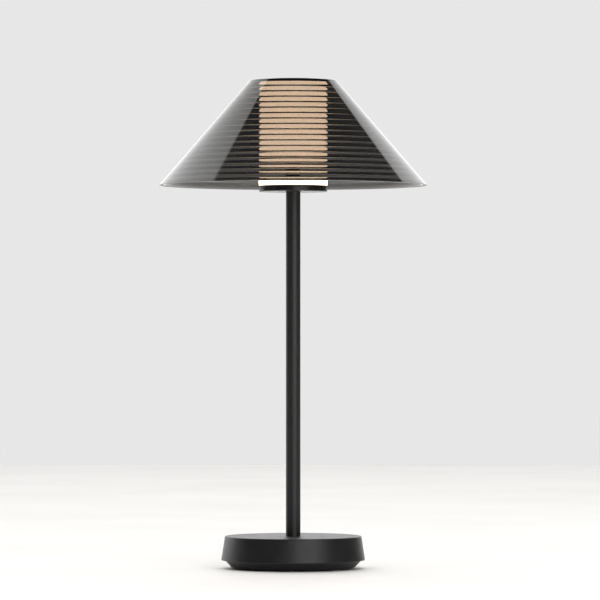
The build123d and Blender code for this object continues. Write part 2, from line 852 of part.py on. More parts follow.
contact_x = holder_half_length - holder_wall
contact_middle_x = contact_x - contact_thickness / 2
contact_z = battery_z - cell_radius / 3
with BuildPart() as battery_contacts:
    for side in (-1, 1):
        with Locations((side * contact_middle_x, battery_y, contact_z)):
            Box(contact_thickness, contact_width, contact_height)
        with BuildSketch(Plane.YZ.offset(side * (contact_x - contact_thickness))):
            with Locations((battery_y, battery_z)):
                Circle(contact_pip_radius)
        extrude(amount=-side * (holder_end_gap - contact_thickness))
lamp["battery_contacts"] = battery_contacts

# ---- Control board and what is soldered to it ------------------------------------------------------
with BuildPart() as control_board:
    with BuildSketch(Plane.XY.offset(board_z)):
        with Locations((0, board_y)):
            RectangleRounded(board_width, board_depth, board_corner)
        with Locations(*board_post_points):
            Circle(m2_radius + seat_gap, mode=Mode.SUBTRACT)
    extrude(amount=board_thickness)
lamp["control_board"] = control_board

board_screw_blank = pan_screw(
    m2_radius, board_screw_length + board_thickness, m2_head_radius, m2_head_height
)
lamp["board_screws"] = copies(
    board_screw_blank, [Location((x, y, board_top_z)) for x, y in board_post_points]
)

with BuildPart() as board_components:
    with BuildSketch(Plane.XY.offset(board_top_z)):
        with Locations((chip_x, board_front_y + chip_from_front)):
            RectangleRounded(chip_side, chip_side, chip_round)
        with Locations((diode_x, board_front_y + diode_from_front)):
            Rectangle(diode_width, diode_length)
        with Locations((row_x, board_front_y + row_from_front)):
            with GridLocations(row_pitch, 0, row_count, 1):
                Rectangle(row_width, row_length)
    extrude(amount=low_part_height)
    with BuildSketch(Plane.XY.offset(board_top_z)):
        with Locations((diode_x, board_front_y + coil_from_front)):
            RectangleRounded(coil_side, coil_side, coil_round)
        with Locations((can_x, board_front_y + can_from_front)):
            Circle(can_radius)
    extrude(amount=tall_part_height)
lamp["board_components"] = board_components

with BuildPart() as board_connectors:
    with BuildSketch(Plane.XY.offset(board_z)):
        with Locations((0, board_front_y + connector_depth / 2)):
            Rectangle(connector_width, connector_depth)
        for side in (-1, 1):
            with Locations((side * lead_x, board_front_y + connector_depth / 2)):
                Rectangle(lead_connector_width, connector_depth / 2)
    extrude(amount=-connector_height)
lamp["board_connectors"] = board_connectors

# ---- Wiring held inside the lamp ----------------------------------------------------------------
cable_bend = lower_nut_z - cable_z
with BuildPart() as wiring_harness:
    with BuildLine() as cable_path:
        FilletPolyline(
            (0, board_front_y, cable_z),
            (0, 0, cable_z),
            (0, 0, cap_floor_top_z),
            radius=cable_bend,
        )
    with BuildSketch(Plane(origin=(0, board_front_y, cable_z), z_dir=(0, -1, 0))):
        Circle(cable_radius)
    sweep()
lamp["wiring_harness"] = wiring_harness
print("harness bend radius", round(cable_bend, 2), "length", round(cable_path.wire().length, 1))

with BuildPart() as battery_leads:
    with BuildSketch(Plane.XZ.offset(-holder_rear_y)):
        for side in (-1, 1):
            with Locations((side * lead_x, lead_z)):
                Circle(lead_radius)
    extrude(amount=holder_rear_y - board_front_y - connector_depth / 4)
lamp["battery_leads"] = battery_leads

# ---- Rear panel: inserted from inside the cover -----------------------------------------------------
panel_middle_z = panel_lower_z + panel_height / 2
hinge_y = panel_y - flap_hinge_depth
pocket_half_height = flap_height / 2 + moving_gap
with BuildPart() as port_panel:
    with BuildSketch(Plane.XZ.offset(-panel_back_y)):
        with Locations((0, panel_middle_z)):
            Rectangle(2 * panel_half_width, panel_height)
    extrude(amount=-panel_thickness)
    front_edges = port_panel.faces().sort_by(Axis.Y)[-1].edges()
    chamfer(front_edges, panel_edge)
    with BuildSketch(Plane.XZ.offset(-flange_back_y)):
        with Locations((0, panel_middle_z)):
            Rectangle(
                2 * (panel_half_width + panel_flange_side), panel_height + 2 * panel_flange_rise
            )
    extrude(amount=-panel_flange)
    # slot for the port's mouth
    with BuildSketch(Plane.XZ.offset(-flange_back_y)):
        with Locations((port_x, port_z)):
            SlotOverall(port_width + 2 * port_hole_gap, port_height + 2 * port_hole_gap)
        with Locations((light_pipe_x, port_z)):
            Circle(light_pipe_radius + bonded_gap)
        with Locations((button_x, button_z)):
            Circle(button_radius + button_gap)
    extrude(amount=-panel_thickness - panel_flange, mode=Mode.SUBTRACT)
    # room behind the face for the button's flange
    with BuildSketch(Plane.XZ.offset(-flange_back_y)):
        with Locations((button_x, button_z)):
            Circle(button_flange_radius + button_gap)
    button_stop_y = panel_back_y + button_flange_thickness
    extrude(amount=flange_back_y - button_stop_y, mode=Mode.SUBTRACT)
    # open pocket for the flap's barrel, with a bore above and below for its trunnions
    pocket_right_x = flap_hinge_x + flap_barrel_radius + plug_gap
    with BuildSketch(Plane.XY.offset(port_z - pocket_half_height)):
        with Locations((pocket_right_x, panel_back_y)):
            Rectangle(
                panel_half_width, 2 * panel_thickness, align=(Align.MAX, Align.MIN)
            )
    extrude(amount=2 * pocket_half_height, mode=Mode.SUBTRACT)
    with BuildSketch(Plane.XY.offset(port_z - pocket_half_height - flap_pin_length)):
        with Locations((flap_hinge_x, hinge_y)):
            Circle(flap_pin_radius + running_gap)
    extrude(amount=2 * (pocket_half_height + flap_pin_length), mode=Mode.SUBTRACT)
lamp["port_panel"] = port_panel

# ---- Charging port ---------------------------------------------------------------------------------
port_mouth_y = panel_y - port_mouth_set_back
port_rear_y = port_mouth_y - port_depth
with BuildPart() as usb_port:
    with BuildSketch(Plane.XZ.offset(-port_rear_y)):
        with Locations((port_x, port_z)):
            SlotOverall(port_width, port_height)
    extrude(amount=-port_depth)
    with BuildSketch(Plane.XZ.offset(-port_mouth_y)):
        with Locations((port_x, port_z)):
            SlotOverall(port_width - 2 * port_shell, port_height - 2 * port_shell)
    extrude(amount=port_depth - port_back_wall, mode=Mode.SUBTRACT)
    with BuildSketch(Plane.XZ.offset(-port_rear_y - port_back_wall)):
        with Locations((port_x, port_z)):
            Rectangle(port_tongue_width, port_tongue_thickness)
    extrude(amount=-port_tongue_length)
lamp["usb_port"] = usb_port

# ---- Port flap: silicone lid on two moulded trunnions ------------------------------------------------
flap_face_y = panel_y + seat_gap
with BuildPart() as port_flap:
    with BuildSketch(Plane.XY.offset(port_z - flap_height / 2)):
        with Locations((flap_hinge_x - flap_tail, flap_face_y)):
            Rectangle(
                flap_free_x - flap_hinge_x + flap_tail,
                flap_thickness,
                align=(Align.MIN, Align.MIN),
            )
        with Locations((flap_hinge_x, hinge_y)):
            Circle(flap_barrel_radius)
        with Locations((flap_free_x, flap_face_y + flap_thickness)):
            Rectangle(flap_grip_width, flap_grip_height, align=(Align.MAX, Align.MIN))
    extrude(amount=flap_height)
    with BuildSketch(Plane.XY.offset(port_z - flap_height / 2 - flap_pin_length)):
        with Locations((flap_hinge_x, hinge_y)):
            Circle(flap_pin_radius)
    extrude(amount=flap_height + 2 * flap_pin_length)
    with BuildSketch(Plane.XZ.offset(-flap_face_y)):
        with Locations((port_x, port_z)):
            SlotOverall(flap_lip_width, flap_lip_height)
    extrude(amount=flap_lip_depth)
lamp["port_flap"] = port_flap

# ---- Button, switch and its plunger ------------------------------------------------------
button_front_y = panel_y + button_proud
button_flange_front_y = button_stop_y - button_gap
button_flange_back_y = button_flange_front_y - button_flange_thickness
switch_front_y = flange_back_y - button_travel - switch_stop_gap
plunger_front_y = switch_front_y + button_travel + switch_stop_gap
with BuildPart() as button:
    with BuildSketch(Plane.XZ.offset(-button_flange_back_y)):
        with Locations((button_x, button_z)):
            Circle(button_radius)
    extrude(amount=button_flange_back_y - button_front_y)
    fillet(button.faces().sort_by(Axis.Y)[-1].edges(), button_edge)
    with BuildSketch(Plane.XZ.offset(-button_flange_back_y)):
        with Locations((button_x, button_z)):
            Circle(button_flange_radius)
    extrude(amount=-button_flange_thickness)
    with BuildSketch(Plane.XZ.offset(-plunger_front_y)):
        with Locations((button_x, button_z)):
            Circle(button_pin_radius)
    extrude(amount=plunger_front_y - button_flange_back_y)
    with BuildSketch(Plane.XZ.offset(-button_front_y)):
        with Locations((button_x, button_z)):
            Circle(button_dish_radius)
    extrude(amount=button_dish_depth, mode=Mode.SUBTRACT)
lamp["button"] = button

switch_height = 2 * (button_z - board_top_z)
with BuildPart() as switch_body:
    with BuildSketch(Plane.XZ.offset(-switch_front_y)):
        with Locations((button_x, button_z)):
            Rectangle(switch_width, switch_height)
    extrude(amount=switch_depth)
    with BuildSketch(Plane.XZ.offset(-switch_front_y)):
        with Locations((button_x, button_z)):
            Circle(plunger_radius + plunger_gap)
    extrude(amount=switch_bore_depth, mode=Mode.SUBTRACT)
lamp["switch_body"] = switch_body

with BuildPart() as switch_plunger:
    with BuildSketch(Plane.XZ.offset(-plunger_front_y)):
        with Locations((button_x, button_z)):
            Circle(plunger_radius)
    extrude(amount=plunger_length)
lamp["switch_plunger"] = switch_plunger

with BuildPart() as charge_light_pipe:
    with BuildSketch(Plane.XZ.offset(-panel_y)):
        with Locations((light_pipe_x, port_z)):
            Circle(light_pipe_radius)
    extrude(amount=light_pipe_length)
lamp["charge_light_pipe"] = charge_light_pipe

# ---- Write every piece -------------------------------------------------------------------
for name, piece in lamp.items():
    piece.part.label = name
    export_step(piece.part, f"parts/{name}.step")
print(len(lamp), "nodes; hinge at", flap_hinge_x, round(hinge_y, 3), round(port_z, 3))
print("panel face y", round(panel_y, 3), "port mouth y", round(port_mouth_y, 3))
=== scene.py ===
"""Looks of the solar table lantern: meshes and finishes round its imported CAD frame."""

import logging
from dataclasses import dataclass
from enum import Enum
from math import asin, cos, hypot, pi, radians, sin

import bmesh
import bpy
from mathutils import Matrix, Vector


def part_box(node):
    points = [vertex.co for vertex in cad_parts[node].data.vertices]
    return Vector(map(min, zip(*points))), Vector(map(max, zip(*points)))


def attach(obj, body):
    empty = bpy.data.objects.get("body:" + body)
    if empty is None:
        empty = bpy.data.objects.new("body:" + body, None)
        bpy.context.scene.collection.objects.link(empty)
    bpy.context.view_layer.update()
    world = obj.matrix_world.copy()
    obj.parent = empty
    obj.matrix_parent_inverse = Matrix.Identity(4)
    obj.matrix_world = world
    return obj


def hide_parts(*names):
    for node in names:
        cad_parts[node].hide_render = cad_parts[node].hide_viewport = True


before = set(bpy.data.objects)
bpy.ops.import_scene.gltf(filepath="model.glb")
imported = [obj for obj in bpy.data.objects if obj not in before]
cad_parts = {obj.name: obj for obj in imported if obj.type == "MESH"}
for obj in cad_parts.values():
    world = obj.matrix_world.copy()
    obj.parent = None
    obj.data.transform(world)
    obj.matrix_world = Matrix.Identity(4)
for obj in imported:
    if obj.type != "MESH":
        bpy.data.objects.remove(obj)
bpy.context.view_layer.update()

LOG = logging.getLogger("lantern")
MM = 0.001
Point = tuple[float, float]
Sockets = dict[str | int, object]

# The middle range of a noise, which is spread over a finish's own range.
NOISE_MIDDLE: Sockets = {"From Min": 0.3, "From Max": 0.7}

# Places of the two colours and of the result on a colour mix.
MIX_LOW, MIX_HIGH, MIX_RESULT = 6, 7, 2


# ---- Shader helpers ------------------------------------------------------------------


def colour(code: str) -> tuple[float, float, float, float]:
    """Turn an sRGB hex colour into the linear RGBA that sockets take.

    Args:
        code: Six hex digits, with or without a leading hash.

    Returns:
        Linear red, green and blue, and an alpha of one.
    """
    channels = [int(code.lstrip("#")[i : i + 2], 16) / 255 for i in (0, 2, 4)]
    linear = [c / 12.92 if c <= 0.04045 else ((c + 0.055) / 1.055) ** 2.4 for c in channels]
    return (*linear, 1.0)


def add_node(
    tree: bpy.types.NodeTree, kind: str, sockets: Sockets | None = None, **settings: object
) -> bpy.types.Node:
    """Add one node with its settings, socket values and links.

    Args:
        tree: Node tree that gets the node.
        kind: Blender's type name of the node.
        sockets: Input name or number to a value, or to the output socket that feeds it.
        settings: Attributes of the node itself.

    Returns:
        The new node.
    """
    new = tree.nodes.new(kind)
    for key, value in settings.items():
        setattr(new, key, value)
    for name, value in (sockets or {}).items():
        if isinstance(value, bpy.types.NodeSocket):
            tree.links.new(value, new.inputs[name])
        else:
            new.inputs[name].default_value = value
    return new


def empty_material(name: str) -> bpy.types.Material:
    """Make a material with an empty node tree, ready to be filled.

    Args:
        name: Name of the real material and of how its surface was made.

    Returns:
        The new material.
    """
    material = bpy.data.materials.new(name)
    material.use_nodes = True
    material.node_tree.nodes.clear()
    return material


def per_metre(size_mm: float) -> float:
    """Return the texture scale that gives lumps of a real size in millimetres."""
    return 1 / (size_mm * MM)


def finish_surface(tree: bpy.types.NodeTree, sockets: Sockets) -> None:
    """Add the main shader with its sockets and join it to the output.

    Args:
        tree: Node tree of the material.
        sockets: Values and links of the main shader.
    """
    shader = add_node(tree, "ShaderNodeBsdfPrincipled", sockets)
    add_node(tree, "ShaderNodeOutputMaterial", {"Surface": shader.outputs["BSDF"]})


# ---- Finishes ------------------------------------------------------------------------


@dataclass(frozen=True)
class TexturedBlack:
    """Black shell finish: fine grain over a slow waviness, faint dust and handling marks.

    A spark-eroded ABS moulding and a powder-coated tube differ only in these sizes. The
    grain scatters highlights into broad satin bands.
    """

    name: str
    base: str
    dust: str
    roughness: float
    grain_mm: float
    grain_depth_mm: float
    wave_mm: float = 14.0
    wave_depth_mm: float = 0.02
    dust_share: float = 0.35
    smoother: float = 0.04
    rougher: float = 0.05
    ior: float = 1.5

    def build(self) -> bpy.types.Material:
        """Make the material.

        Returns:
            The material, ready for a piece.
        """
        material = empty_material(self.name)
        tree = material.node_tree
        place = add_node(tree, "ShaderNodeTexCoord").outputs["Object"]
        grain, wave, marks = (
            add_node(
                tree,
                "ShaderNodeTexNoise",
                {"Vector": place, "Scale": per_metre(size), "Detail": detail},
            ).outputs["Fac"]
            for size, detail in (
                (self.grain_mm, 3.0),
                (self.wave_mm, 1.0),
                (self.wave_mm / 2, 4.0),
            )
        )
        waviness = add_node(
            tree,
            "ShaderNodeBump",
            {"Height": wave, "Strength": 1.0, "Distance": self.wave_depth_mm * MM},
        )
        sockets: Sockets = {
            "Height": grain,
            "Strength": 1.0,
            "Distance": self.grain_depth_mm * MM,
            "Normal": waviness.outputs["Normal"],
        }
        surface = add_node(tree, "ShaderNodeBump", sockets)
        sockets = {"Value": marks, **NOISE_MIDDLE, "To Min": 0.0, "To Max": self.dust_share}
        dusty = add_node(tree, "ShaderNodeMapRange", sockets)
        sockets = {
            "Factor": dusty.outputs["Result"],
            MIX_LOW: colour(self.base),
            MIX_HIGH: colour(self.dust),
        }
        tint = add_node(tree, "ShaderNodeMix", sockets, data_type="RGBA")
        sockets = {
            "Value": marks,
            **NOISE_MIDDLE,
            "To Min": self.roughness - self.smoother,
            "To Max": self.roughness + self.rougher,
        }
        scatter = add_node(tree, "ShaderNodeMapRange", sockets)
        sockets = {
            "Base Color": tint.outputs[MIX_RESULT],
            "Roughness": scatter.outputs["Result"],
            "IOR": self.ior,
            "Normal": surface.outputs["Normal"],
        }
        finish_surface(tree, sockets)
        return material


@dataclass(frozen=True)
class PlainMoulding:
    """Moulded or coated part inside the lamp: one colour, slight grain and clouding."""

    name: str
    base: str
    shade: str
    roughness: float
    grain_mm: float = 0.6
    grain_depth_mm: float = 0.01
    metallic: float = 0.0
    clouds_per_grain: float = 12.0
    roughness_change: float = 0.06

    def build(self) -> bpy.types.Material:
        """Make the material.

        Returns:
            The material, ready for a piece.
        """
        material = empty_material(self.name)
        tree = material.node_tree
        place = add_node(tree, "ShaderNodeTexCoord").outputs["Object"]
        grain, cloud = (
            add_node(
                tree,
                "ShaderNodeTexNoise",
                {"Vector": place, "Scale": per_metre(size), "Detail": 3.0},
            ).outputs["Fac"]
            for size in (self.grain_mm, self.grain_mm * self.clouds_per_grain)
        )
        sockets: Sockets = {"Value": cloud, **NOISE_MIDDLE, "To Min": 0.0, "To Max": 1.0}
        clouding = add_node(tree, "ShaderNodeMapRange", sockets)
        sockets = {
            "Factor": clouding.outputs["Result"],
            MIX_LOW: colour(self.base),
            MIX_HIGH: colour(self.shade),
        }
        tint = add_node(tree, "ShaderNodeMix", sockets, data_type="RGBA")
        sockets = {
            "Value": grain,
            **NOISE_MIDDLE,
            "To Min": self.roughness - self.roughness_change,
            "To Max": self.roughness + self.roughness_change,
        }
        scatter = add_node(tree, "ShaderNodeMapRange", sockets)
        sockets = {"Height": grain, "Strength": 1.0, "Distance": self.grain_depth_mm * MM}
        surface = add_node(tree, "ShaderNodeBump", sockets)
        sockets = {
            "Base Color": tint.outputs[MIX_RESULT],
            "Roughness": scatter.outputs["Result"],
            "Metallic": self.metallic,
            "Normal": surface.outputs["Normal"],
        }
        finish_surface(tree, sockets)
        return material


@dataclass(frozen=True)
class DrawnMetal:
    """Drawn or turned metal: fine lines round or along the part, and slight tarnish."""

    name: str
    base: str
    tarnish: str
    roughness: float
    line_mm: float
    stretch: tuple[float, float, float] = (1.0, 1.0, 0.08)
    line_depth_mm: float = 0.006
    clouds_per_line: float = 20.0
    tarnish_share: float = 0.8
    smoother: float = 0.08
    rougher: float = 0.1

    def build(self) -> bpy.types.Material:
        """Make the material.

        Returns:
            The material, ready for a piece.
        """
        material = empty_material(self.name)
        tree = material.node_tree
        place = add_node(tree, "ShaderNodeTexCoord").outputs["Object"]
        mapped = add_node(tree, "ShaderNodeMapping", {"Vector": place, "Scale": self.stretch})
        sockets: Sockets = {
            "Vector": mapped.outputs["Vector"],
            "Scale": per_metre(self.line_mm),
            "Detail": 4.0,
        }
        lines = add_node(tree, "ShaderNodeTexNoise", sockets).outputs["Fac"]
        sockets = {
            "Vector": place,
            "Scale": per_metre(self.line_mm * self.clouds_per_line),
            "Detail": 3.0,
        }
        cloud = add_node(tree, "ShaderNodeTexNoise", sockets).outputs["Fac"]
        sockets = {"Value": cloud, **NOISE_MIDDLE, "To Min": 0.0, "To Max": self.tarnish_share}
        tarnished = add_node(tree, "ShaderNodeMapRange", sockets)
        sockets = {
            "Factor": tarnished.outputs["Result"],
            MIX_LOW: colour(self.base),
            MIX_HIGH: colour(self.tarnish),
        }
        tint = add_node(tree, "ShaderNodeMix", sockets, data_type="RGBA")
        sockets = {
            "Value": lines,
            **NOISE_MIDDLE,
            "To Min": self.roughness - self.smoother,
            "To Max": self.roughness + self.rougher,
        }
        scatter = add_node(tree, "ShaderNodeMapRange", sockets)
        sockets = {"Height": lines, "Strength": 1.0, "Distance": self.line_depth_mm * MM}
        surface = add_node(tree, "ShaderNodeBump", sockets)
        sockets = {
            "Base Color": tint.outputs[MIX_RESULT],
            "Roughness": scatter.outputs["Result"],
            "Metallic": 1.0,
            "Normal": surface.outputs["Normal"],
        }
        finish_surface(tree, sockets)
        return material


@dataclass(frozen=True)
class ClearPlastic:
    """Clear or smoked plastic that light passes: refracts to the eye, tints its shadow.

    Polished polycarbonate reflects sharply at its edges. A little haze in patches, from
    handling, keeps it from looking like optical glass.
    """

    name: str
    tint: str
    shadow: str
    roughness: float
    ior: float
    haze: float = 0.03
    patch_mm: float = 9.0

    def build(self) -> bpy.types.Material:
        """Make the material.

        Returns:
            The material, ready for a piece.
        """
        material = empty_material(self.name)
        tree = material.node_tree
        place = add_node(tree, "ShaderNodeTexCoord").outputs["Object"]
        sockets: Sockets = {"Vector": place, "Scale": per_metre(self.patch_mm), "Detail": 4.0}
        smear = add_node(tree, "ShaderNodeTexNoise", sockets).outputs["Fac"]
        sockets = {
            "Value": smear,
            **NOISE_MIDDLE,
            "To Min": self.roughness,
            "To Max": self.roughness + self.haze,
        }
        scatter = add_node(tree, "ShaderNodeMapRange", sockets)
        sockets = {
            "Base Color": colour(self.tint),
            "Roughness": scatter.outputs["Result"],
            "IOR": self.ior,
            "Transmission Weight": 1.0,
        }
        shader = add_node(tree, "ShaderNodeBsdfPrincipled", sockets)
        veil = add_node(tree, "ShaderNodeBsdfTransparent", {"Color": colour(self.shadow)})
        rays = add_node(tree, "ShaderNodeLightPath")
        mix = add_node(
            tree,
            "ShaderNodeMixShader",
            {0: rays.outputs["Is Shadow Ray"], 1: shader.outputs["BSDF"], 2: veil.outputs[0]},
        )
        add_node(tree, "ShaderNodeOutputMaterial", {"Surface": mix.outputs[0]})
        return material


@dataclass(frozen=True)
class PaintedGlowEdge:
    """End face of smoked plastic, satin and partly clear as it leaves the mould; painted pale
    as the glow of light carried along the wall to the rim.
    """

    name: str
    # Painted pale: this colour stands in for the glow that light carried in the wall gives the
    # rim.
    base: str
    roughness: float
    passing: float
    ior: float
    grain_mm: float = 0.4
    grain_depth_mm: float = 0.01
    roughness_change: float = 0.05

    def build(self) -> bpy.types.Material:
        """Make the material.

        Returns:
            The material, ready for a piece.
        """
        material = empty_material(self.name)
        tree = material.node_tree
        place = add_node(tree, "ShaderNodeTexCoord").outputs["Object"]
        sockets: Sockets = {"Vector": place, "Scale": per_metre(self.grain_mm), "Detail": 3.0}
        grain = add_node(tree, "ShaderNodeTexNoise", sockets).outputs["Fac"]
        sockets = {
            "Value": grain,
            **NOISE_MIDDLE,
            "To Min": self.roughness - self.roughness_change,
            "To Max": self.roughness + self.roughness_change,
        }
        scatter = add_node(tree, "ShaderNodeMapRange", sockets)
        sockets = {"Height": grain, "Strength": 1.0, "Distance": self.grain_depth_mm * MM}
        surface = add_node(tree, "ShaderNodeBump", sockets)
        sockets = {
            "Base Color": colour(self.base),
            "Roughness": scatter.outputs["Result"],
            "IOR": self.ior,
            "Transmission Weight": self.passing,
            "Normal": surface.outputs["Normal"],
        }
        finish_surface(tree, sockets)
        return material


@dataclass(frozen=True)
class LitOpal:
    """Opal polycarbonate lit from inside: an even warm glow, a little weaker at its ends."""

    name: str
    base: str
    glow: str
    strength: float
    low_z: float
    high_z: float
    low_share: float = 0.17
    low_fade_mm: float = 6.0
    high_share: float = 0.0
    high_fade_mm: float = 1.0
    cloud_mm: float = 16.0
    cloud_change: float = 0.03
    grain_mm: float = 0.4
    grain_depth_mm: float = 0.01
    roughness: float = 0.45
    ior: float = 1.58

    def build(self) -> bpy.types.Material:
        """Make the material.

        Returns:
            The material, ready for a piece.
        """
        material = empty_material(self.name)
        tree = material.node_tree
        place = add_node(tree, "ShaderNodeTexCoord").outputs["Object"]
        split = add_node(tree, "ShaderNodeSeparateXYZ", {"Vector": place})
        fades = []
        for start, fade, share in (
            (self.low_z, self.low_fade_mm, self.low_share),
            (self.high_z, -self.high_fade_mm, self.high_share),
        ):
            sockets: Sockets = {
                "Value": split.outputs["Z"],
                "From Min": start,
                "From Max": start + fade * MM,
                "To Min": share,
                "To Max": 1.0,
            }
            ramp = add_node(
                tree, "ShaderNodeMapRange", sockets, interpolation_type="SMOOTHSTEP"
            )
            fades.append(ramp.outputs["Result"])
        cloud, grain = (
            add_node(
                tree,
                "ShaderNodeTexNoise",
                {"Vector": place, "Scale": per_metre(size), "Detail": 2.0},
            ).outputs["Fac"]
            for size in (self.cloud_mm, self.grain_mm)
        )
        sockets = {
            "Value": cloud,
            **NOISE_MIDDLE,
            "To Min": 1.0 - self.cloud_change,
            "To Max": 1.0 + self.cloud_change,
        }
        clouding = add_node(tree, "ShaderNodeMapRange", sockets).outputs["Result"]
        power = fades[0]
        for share in (fades[1], clouding, self.strength):
            power = add_node(
                tree, "ShaderNodeMath", {0: power, 1: share}, operation="MULTIPLY"
            ).outputs[0]
        sockets = {"Height": grain, "Strength": 1.0, "Distance": self.grain_depth_mm * MM}
        surface = add_node(tree, "ShaderNodeBump", sockets)
        sockets = {
            "Base Color": colour(self.base),
            "Roughness": self.roughness,
            "IOR": self.ior,
            "Emission Color": colour(self.glow),
            "Emission Strength": power,
            "Normal": surface.outputs["Normal"],
        }
        finish_surface(tree, sockets)
        return material


@dataclass(frozen=True)
class SiliconCells:
    """Monocrystalline cells: near-black blue silicon under fine silver fingers and bars."""

    name: str
    silicon: str = "#0a1024"
    sheen: str = "#16264f"
    silver: str = "#b9bdc4"
    finger_pitch_mm: float = 1.5
    finger_mm: float = 0.16
    bar_mm: float = 0.7
    bar_y_mm: float = 12.0
    grain_mm: float = 5.0
    silver_depth_mm: float = 0.02

    def stripe(
        self,
        tree: bpy.types.NodeTree,
        place: bpy.types.NodeSocket,
        pitch: float,
        width: float,
    ) -> bpy.types.NodeSocket:
        """Return one where a coordinate lies in a repeating thin stripe.

        Args:
            tree: Node tree of the material.
            place: Coordinate in metres.
            pitch: Distance from stripe to stripe, in metres.
            width: Stripe width, in metres.

        Returns:
            A socket that is one on the stripes and zero elsewhere.
        """
        wrapped = add_node(
            tree, "ShaderNodeMath", {0: place, 1: pitch / 2, 2: -pitch / 2}, operation="WRAP"
        )
        size = add_node(tree, "ShaderNodeMath", {0: wrapped.outputs[0]}, operation="ABSOLUTE")
        test = add_node(
            tree, "ShaderNodeMath", {0: size.outputs[0], 1: width / 2}, operation="LESS_THAN"
        )
        return test.outputs[0]

    def build(self) -> bpy.types.Material:
        """Make the material.

        Returns:
            The material, ready for a piece.
        """
        material = empty_material(self.name)
        tree = material.node_tree
        place = add_node(tree, "ShaderNodeTexCoord").outputs["Object"]
        split = add_node(tree, "ShaderNodeSeparateXYZ", {"Vector": place})
        fingers = self.stripe(
            tree, split.outputs["Y"], self.finger_pitch_mm * MM, self.finger_mm * MM
        )
        bars = self.stripe(tree, split.outputs["Y"], self.bar_y_mm * MM, self.bar_mm * MM)
        metal = add_node(
            tree, "ShaderNodeMath", {0: fingers, 1: bars}, operation="MAXIMUM"
        ).outputs[0]
        sockets: Sockets = {"Vector": place, "Scale": per_metre(self.grain_mm), "Detail": 2.0}
        grain = add_node(tree, "ShaderNodeTexNoise", sockets).outputs["Fac"]
        sockets = {"Value": grain, **NOISE_MIDDLE, "To Min": 0.0, "To Max": 1.0}
        sheen = add_node(tree, "ShaderNodeMapRange", sockets)
        sockets = {
            "Factor": sheen.outputs["Result"],
            MIX_LOW: colour(self.silicon),
            MIX_HIGH: colour(self.sheen),
        }
        silicon = add_node(tree, "ShaderNodeMix", sockets, data_type="RGBA")
        sockets = {
            "Factor": metal,
            MIX_LOW: silicon.outputs[MIX_RESULT],
            MIX_HIGH: colour(self.silver),
        }
        tint = add_node(tree, "ShaderNodeMix", sockets, data_type="RGBA")
        sockets = {"Height": metal, "Strength": 1.0, "Distance": self.silver_depth_mm * MM}
        surface = add_node(tree, "ShaderNodeBump", sockets)
        sockets = {
            "Base Color": tint.outputs[MIX_RESULT],
            "Roughness": 0.28,
            "Metallic": metal,
            "Coat Weight": 0.6,
            "Coat Roughness": 0.06,
            "Normal": surface.outputs["Normal"],
        }
        finish_surface(tree, sockets)
        return material


@dataclass(frozen=True)
class CircuitBoard:
    """Glass-epoxy board: solder mask over copper tracks, seen as paler raised lines."""

    name: str
    mask: str
    track: str
    pitch_mm: float = 1.6
    track_from: float = 0.42
    track_depth_mm: float = 0.03
    roughness: float = 0.32

    def build(self) -> bpy.types.Material:
        """Make the material.

        Returns:
            The material, ready for a piece.
        """
        material = empty_material(self.name)
        tree = material.node_tree
        place = add_node(tree, "ShaderNodeTexCoord").outputs["Object"]
        cells = add_node(
            tree,
            "ShaderNodeTexVoronoi",
            {"Vector": place, "Scale": per_metre(self.pitch_mm)},
            distance="MANHATTAN",
            feature="F1",
        )
        tracks = add_node(
            tree,
            "ShaderNodeMath",
            {0: cells.outputs["Distance"], 1: self.track_from},
            operation="GREATER_THAN",
        ).outputs[0]
        sockets: Sockets = {
            "Factor": tracks,
            MIX_LOW: colour(self.mask),
            MIX_HIGH: colour(self.track),
        }
        tint = add_node(tree, "ShaderNodeMix", sockets, data_type="RGBA")
        sockets = {"Height": tracks, "Strength": 1.0, "Distance": self.track_depth_mm * MM}
        surface = add_node(tree, "ShaderNodeBump", sockets)
        sockets = {
            "Base Color": tint.outputs[MIX_RESULT],
            "Roughness": self.roughness,
            "Normal": surface.outputs["Normal"],
        }
        finish_surface(tree, sockets)
        return material


class Gloss(Enum):
    """How far a black surface scatters its highlights."""

    POLISHED = 0.27
    SATIN = 0.36
    MATT = 0.42
    SOFT = 0.62


# ---- Modelling helpers ---------------------------------------------------------------


def deselect() -> None:
    """Leave object mode clean: nothing selected, nothing active in edit mode."""
    if bpy.context.object and bpy.context.object.mode != "OBJECT":
        bpy.ops.object.mode_set(mode="OBJECT")
    bpy.ops.object.select_all(action="DESELECT")


def show_selection(piece: bpy.types.Object) -> None:
    """Tell edit mode about elements that were selected in code.

    Args:
        piece: The piece that is open in edit mode.
    """
    bmesh.from_edit_mesh(piece.data).select_flush_mode()
    bmesh.update_edit_mesh(piece.data)


def settle(piece: bpy.types.Object, name: str) -> None:
    """Leave edit mode, apply the piece's place and name it.

    Args:
        piece: The piece that is open in edit mode.
        name: Its name, for the object and its mesh.
    """
    bpy.ops.object.mode_set(mode="OBJECT")
    bpy.ops.object.transform_apply(location=True, rotation=True, scale=True)
    piece.name = name
    piece.data.name = name


def smooth(piece: bpy.types.Object, degrees: float = 34.0) -> None:
    """Smooth the shading by angle, and let large faces keep their own true normals.

    Args:
        piece: The finished piece.
        degrees: Edges sharper than this stay sharp.
    """
    deselect()
    piece.select_set(True)
    bpy.context.view_layer.objects.active = piece
    bpy.ops.object.shade_smooth_by_angle(angle=radians(degrees))
    apply_modifier(piece, "WEIGHTED_NORMAL", keep_sharp=True, weight=100)


def apply_modifier(piece: bpy.types.Object, kind: str, **settings: object) -> None:
    """Add a modifier with its settings and apply it at once.

    Args:
        piece: The piece that it works on.
        kind: Blender's type name of the modifier.
        settings: Attributes of the modifier.
    """
    deselect()
    piece.select_set(True)
    bpy.context.view_layer.objects.active = piece
    modifier = piece.modifiers.new(kind.title(), kind)
    for key, value in settings.items():
        setattr(modifier, key, value)
    bpy.ops.object.modifier_apply(modifier=modifier.name)


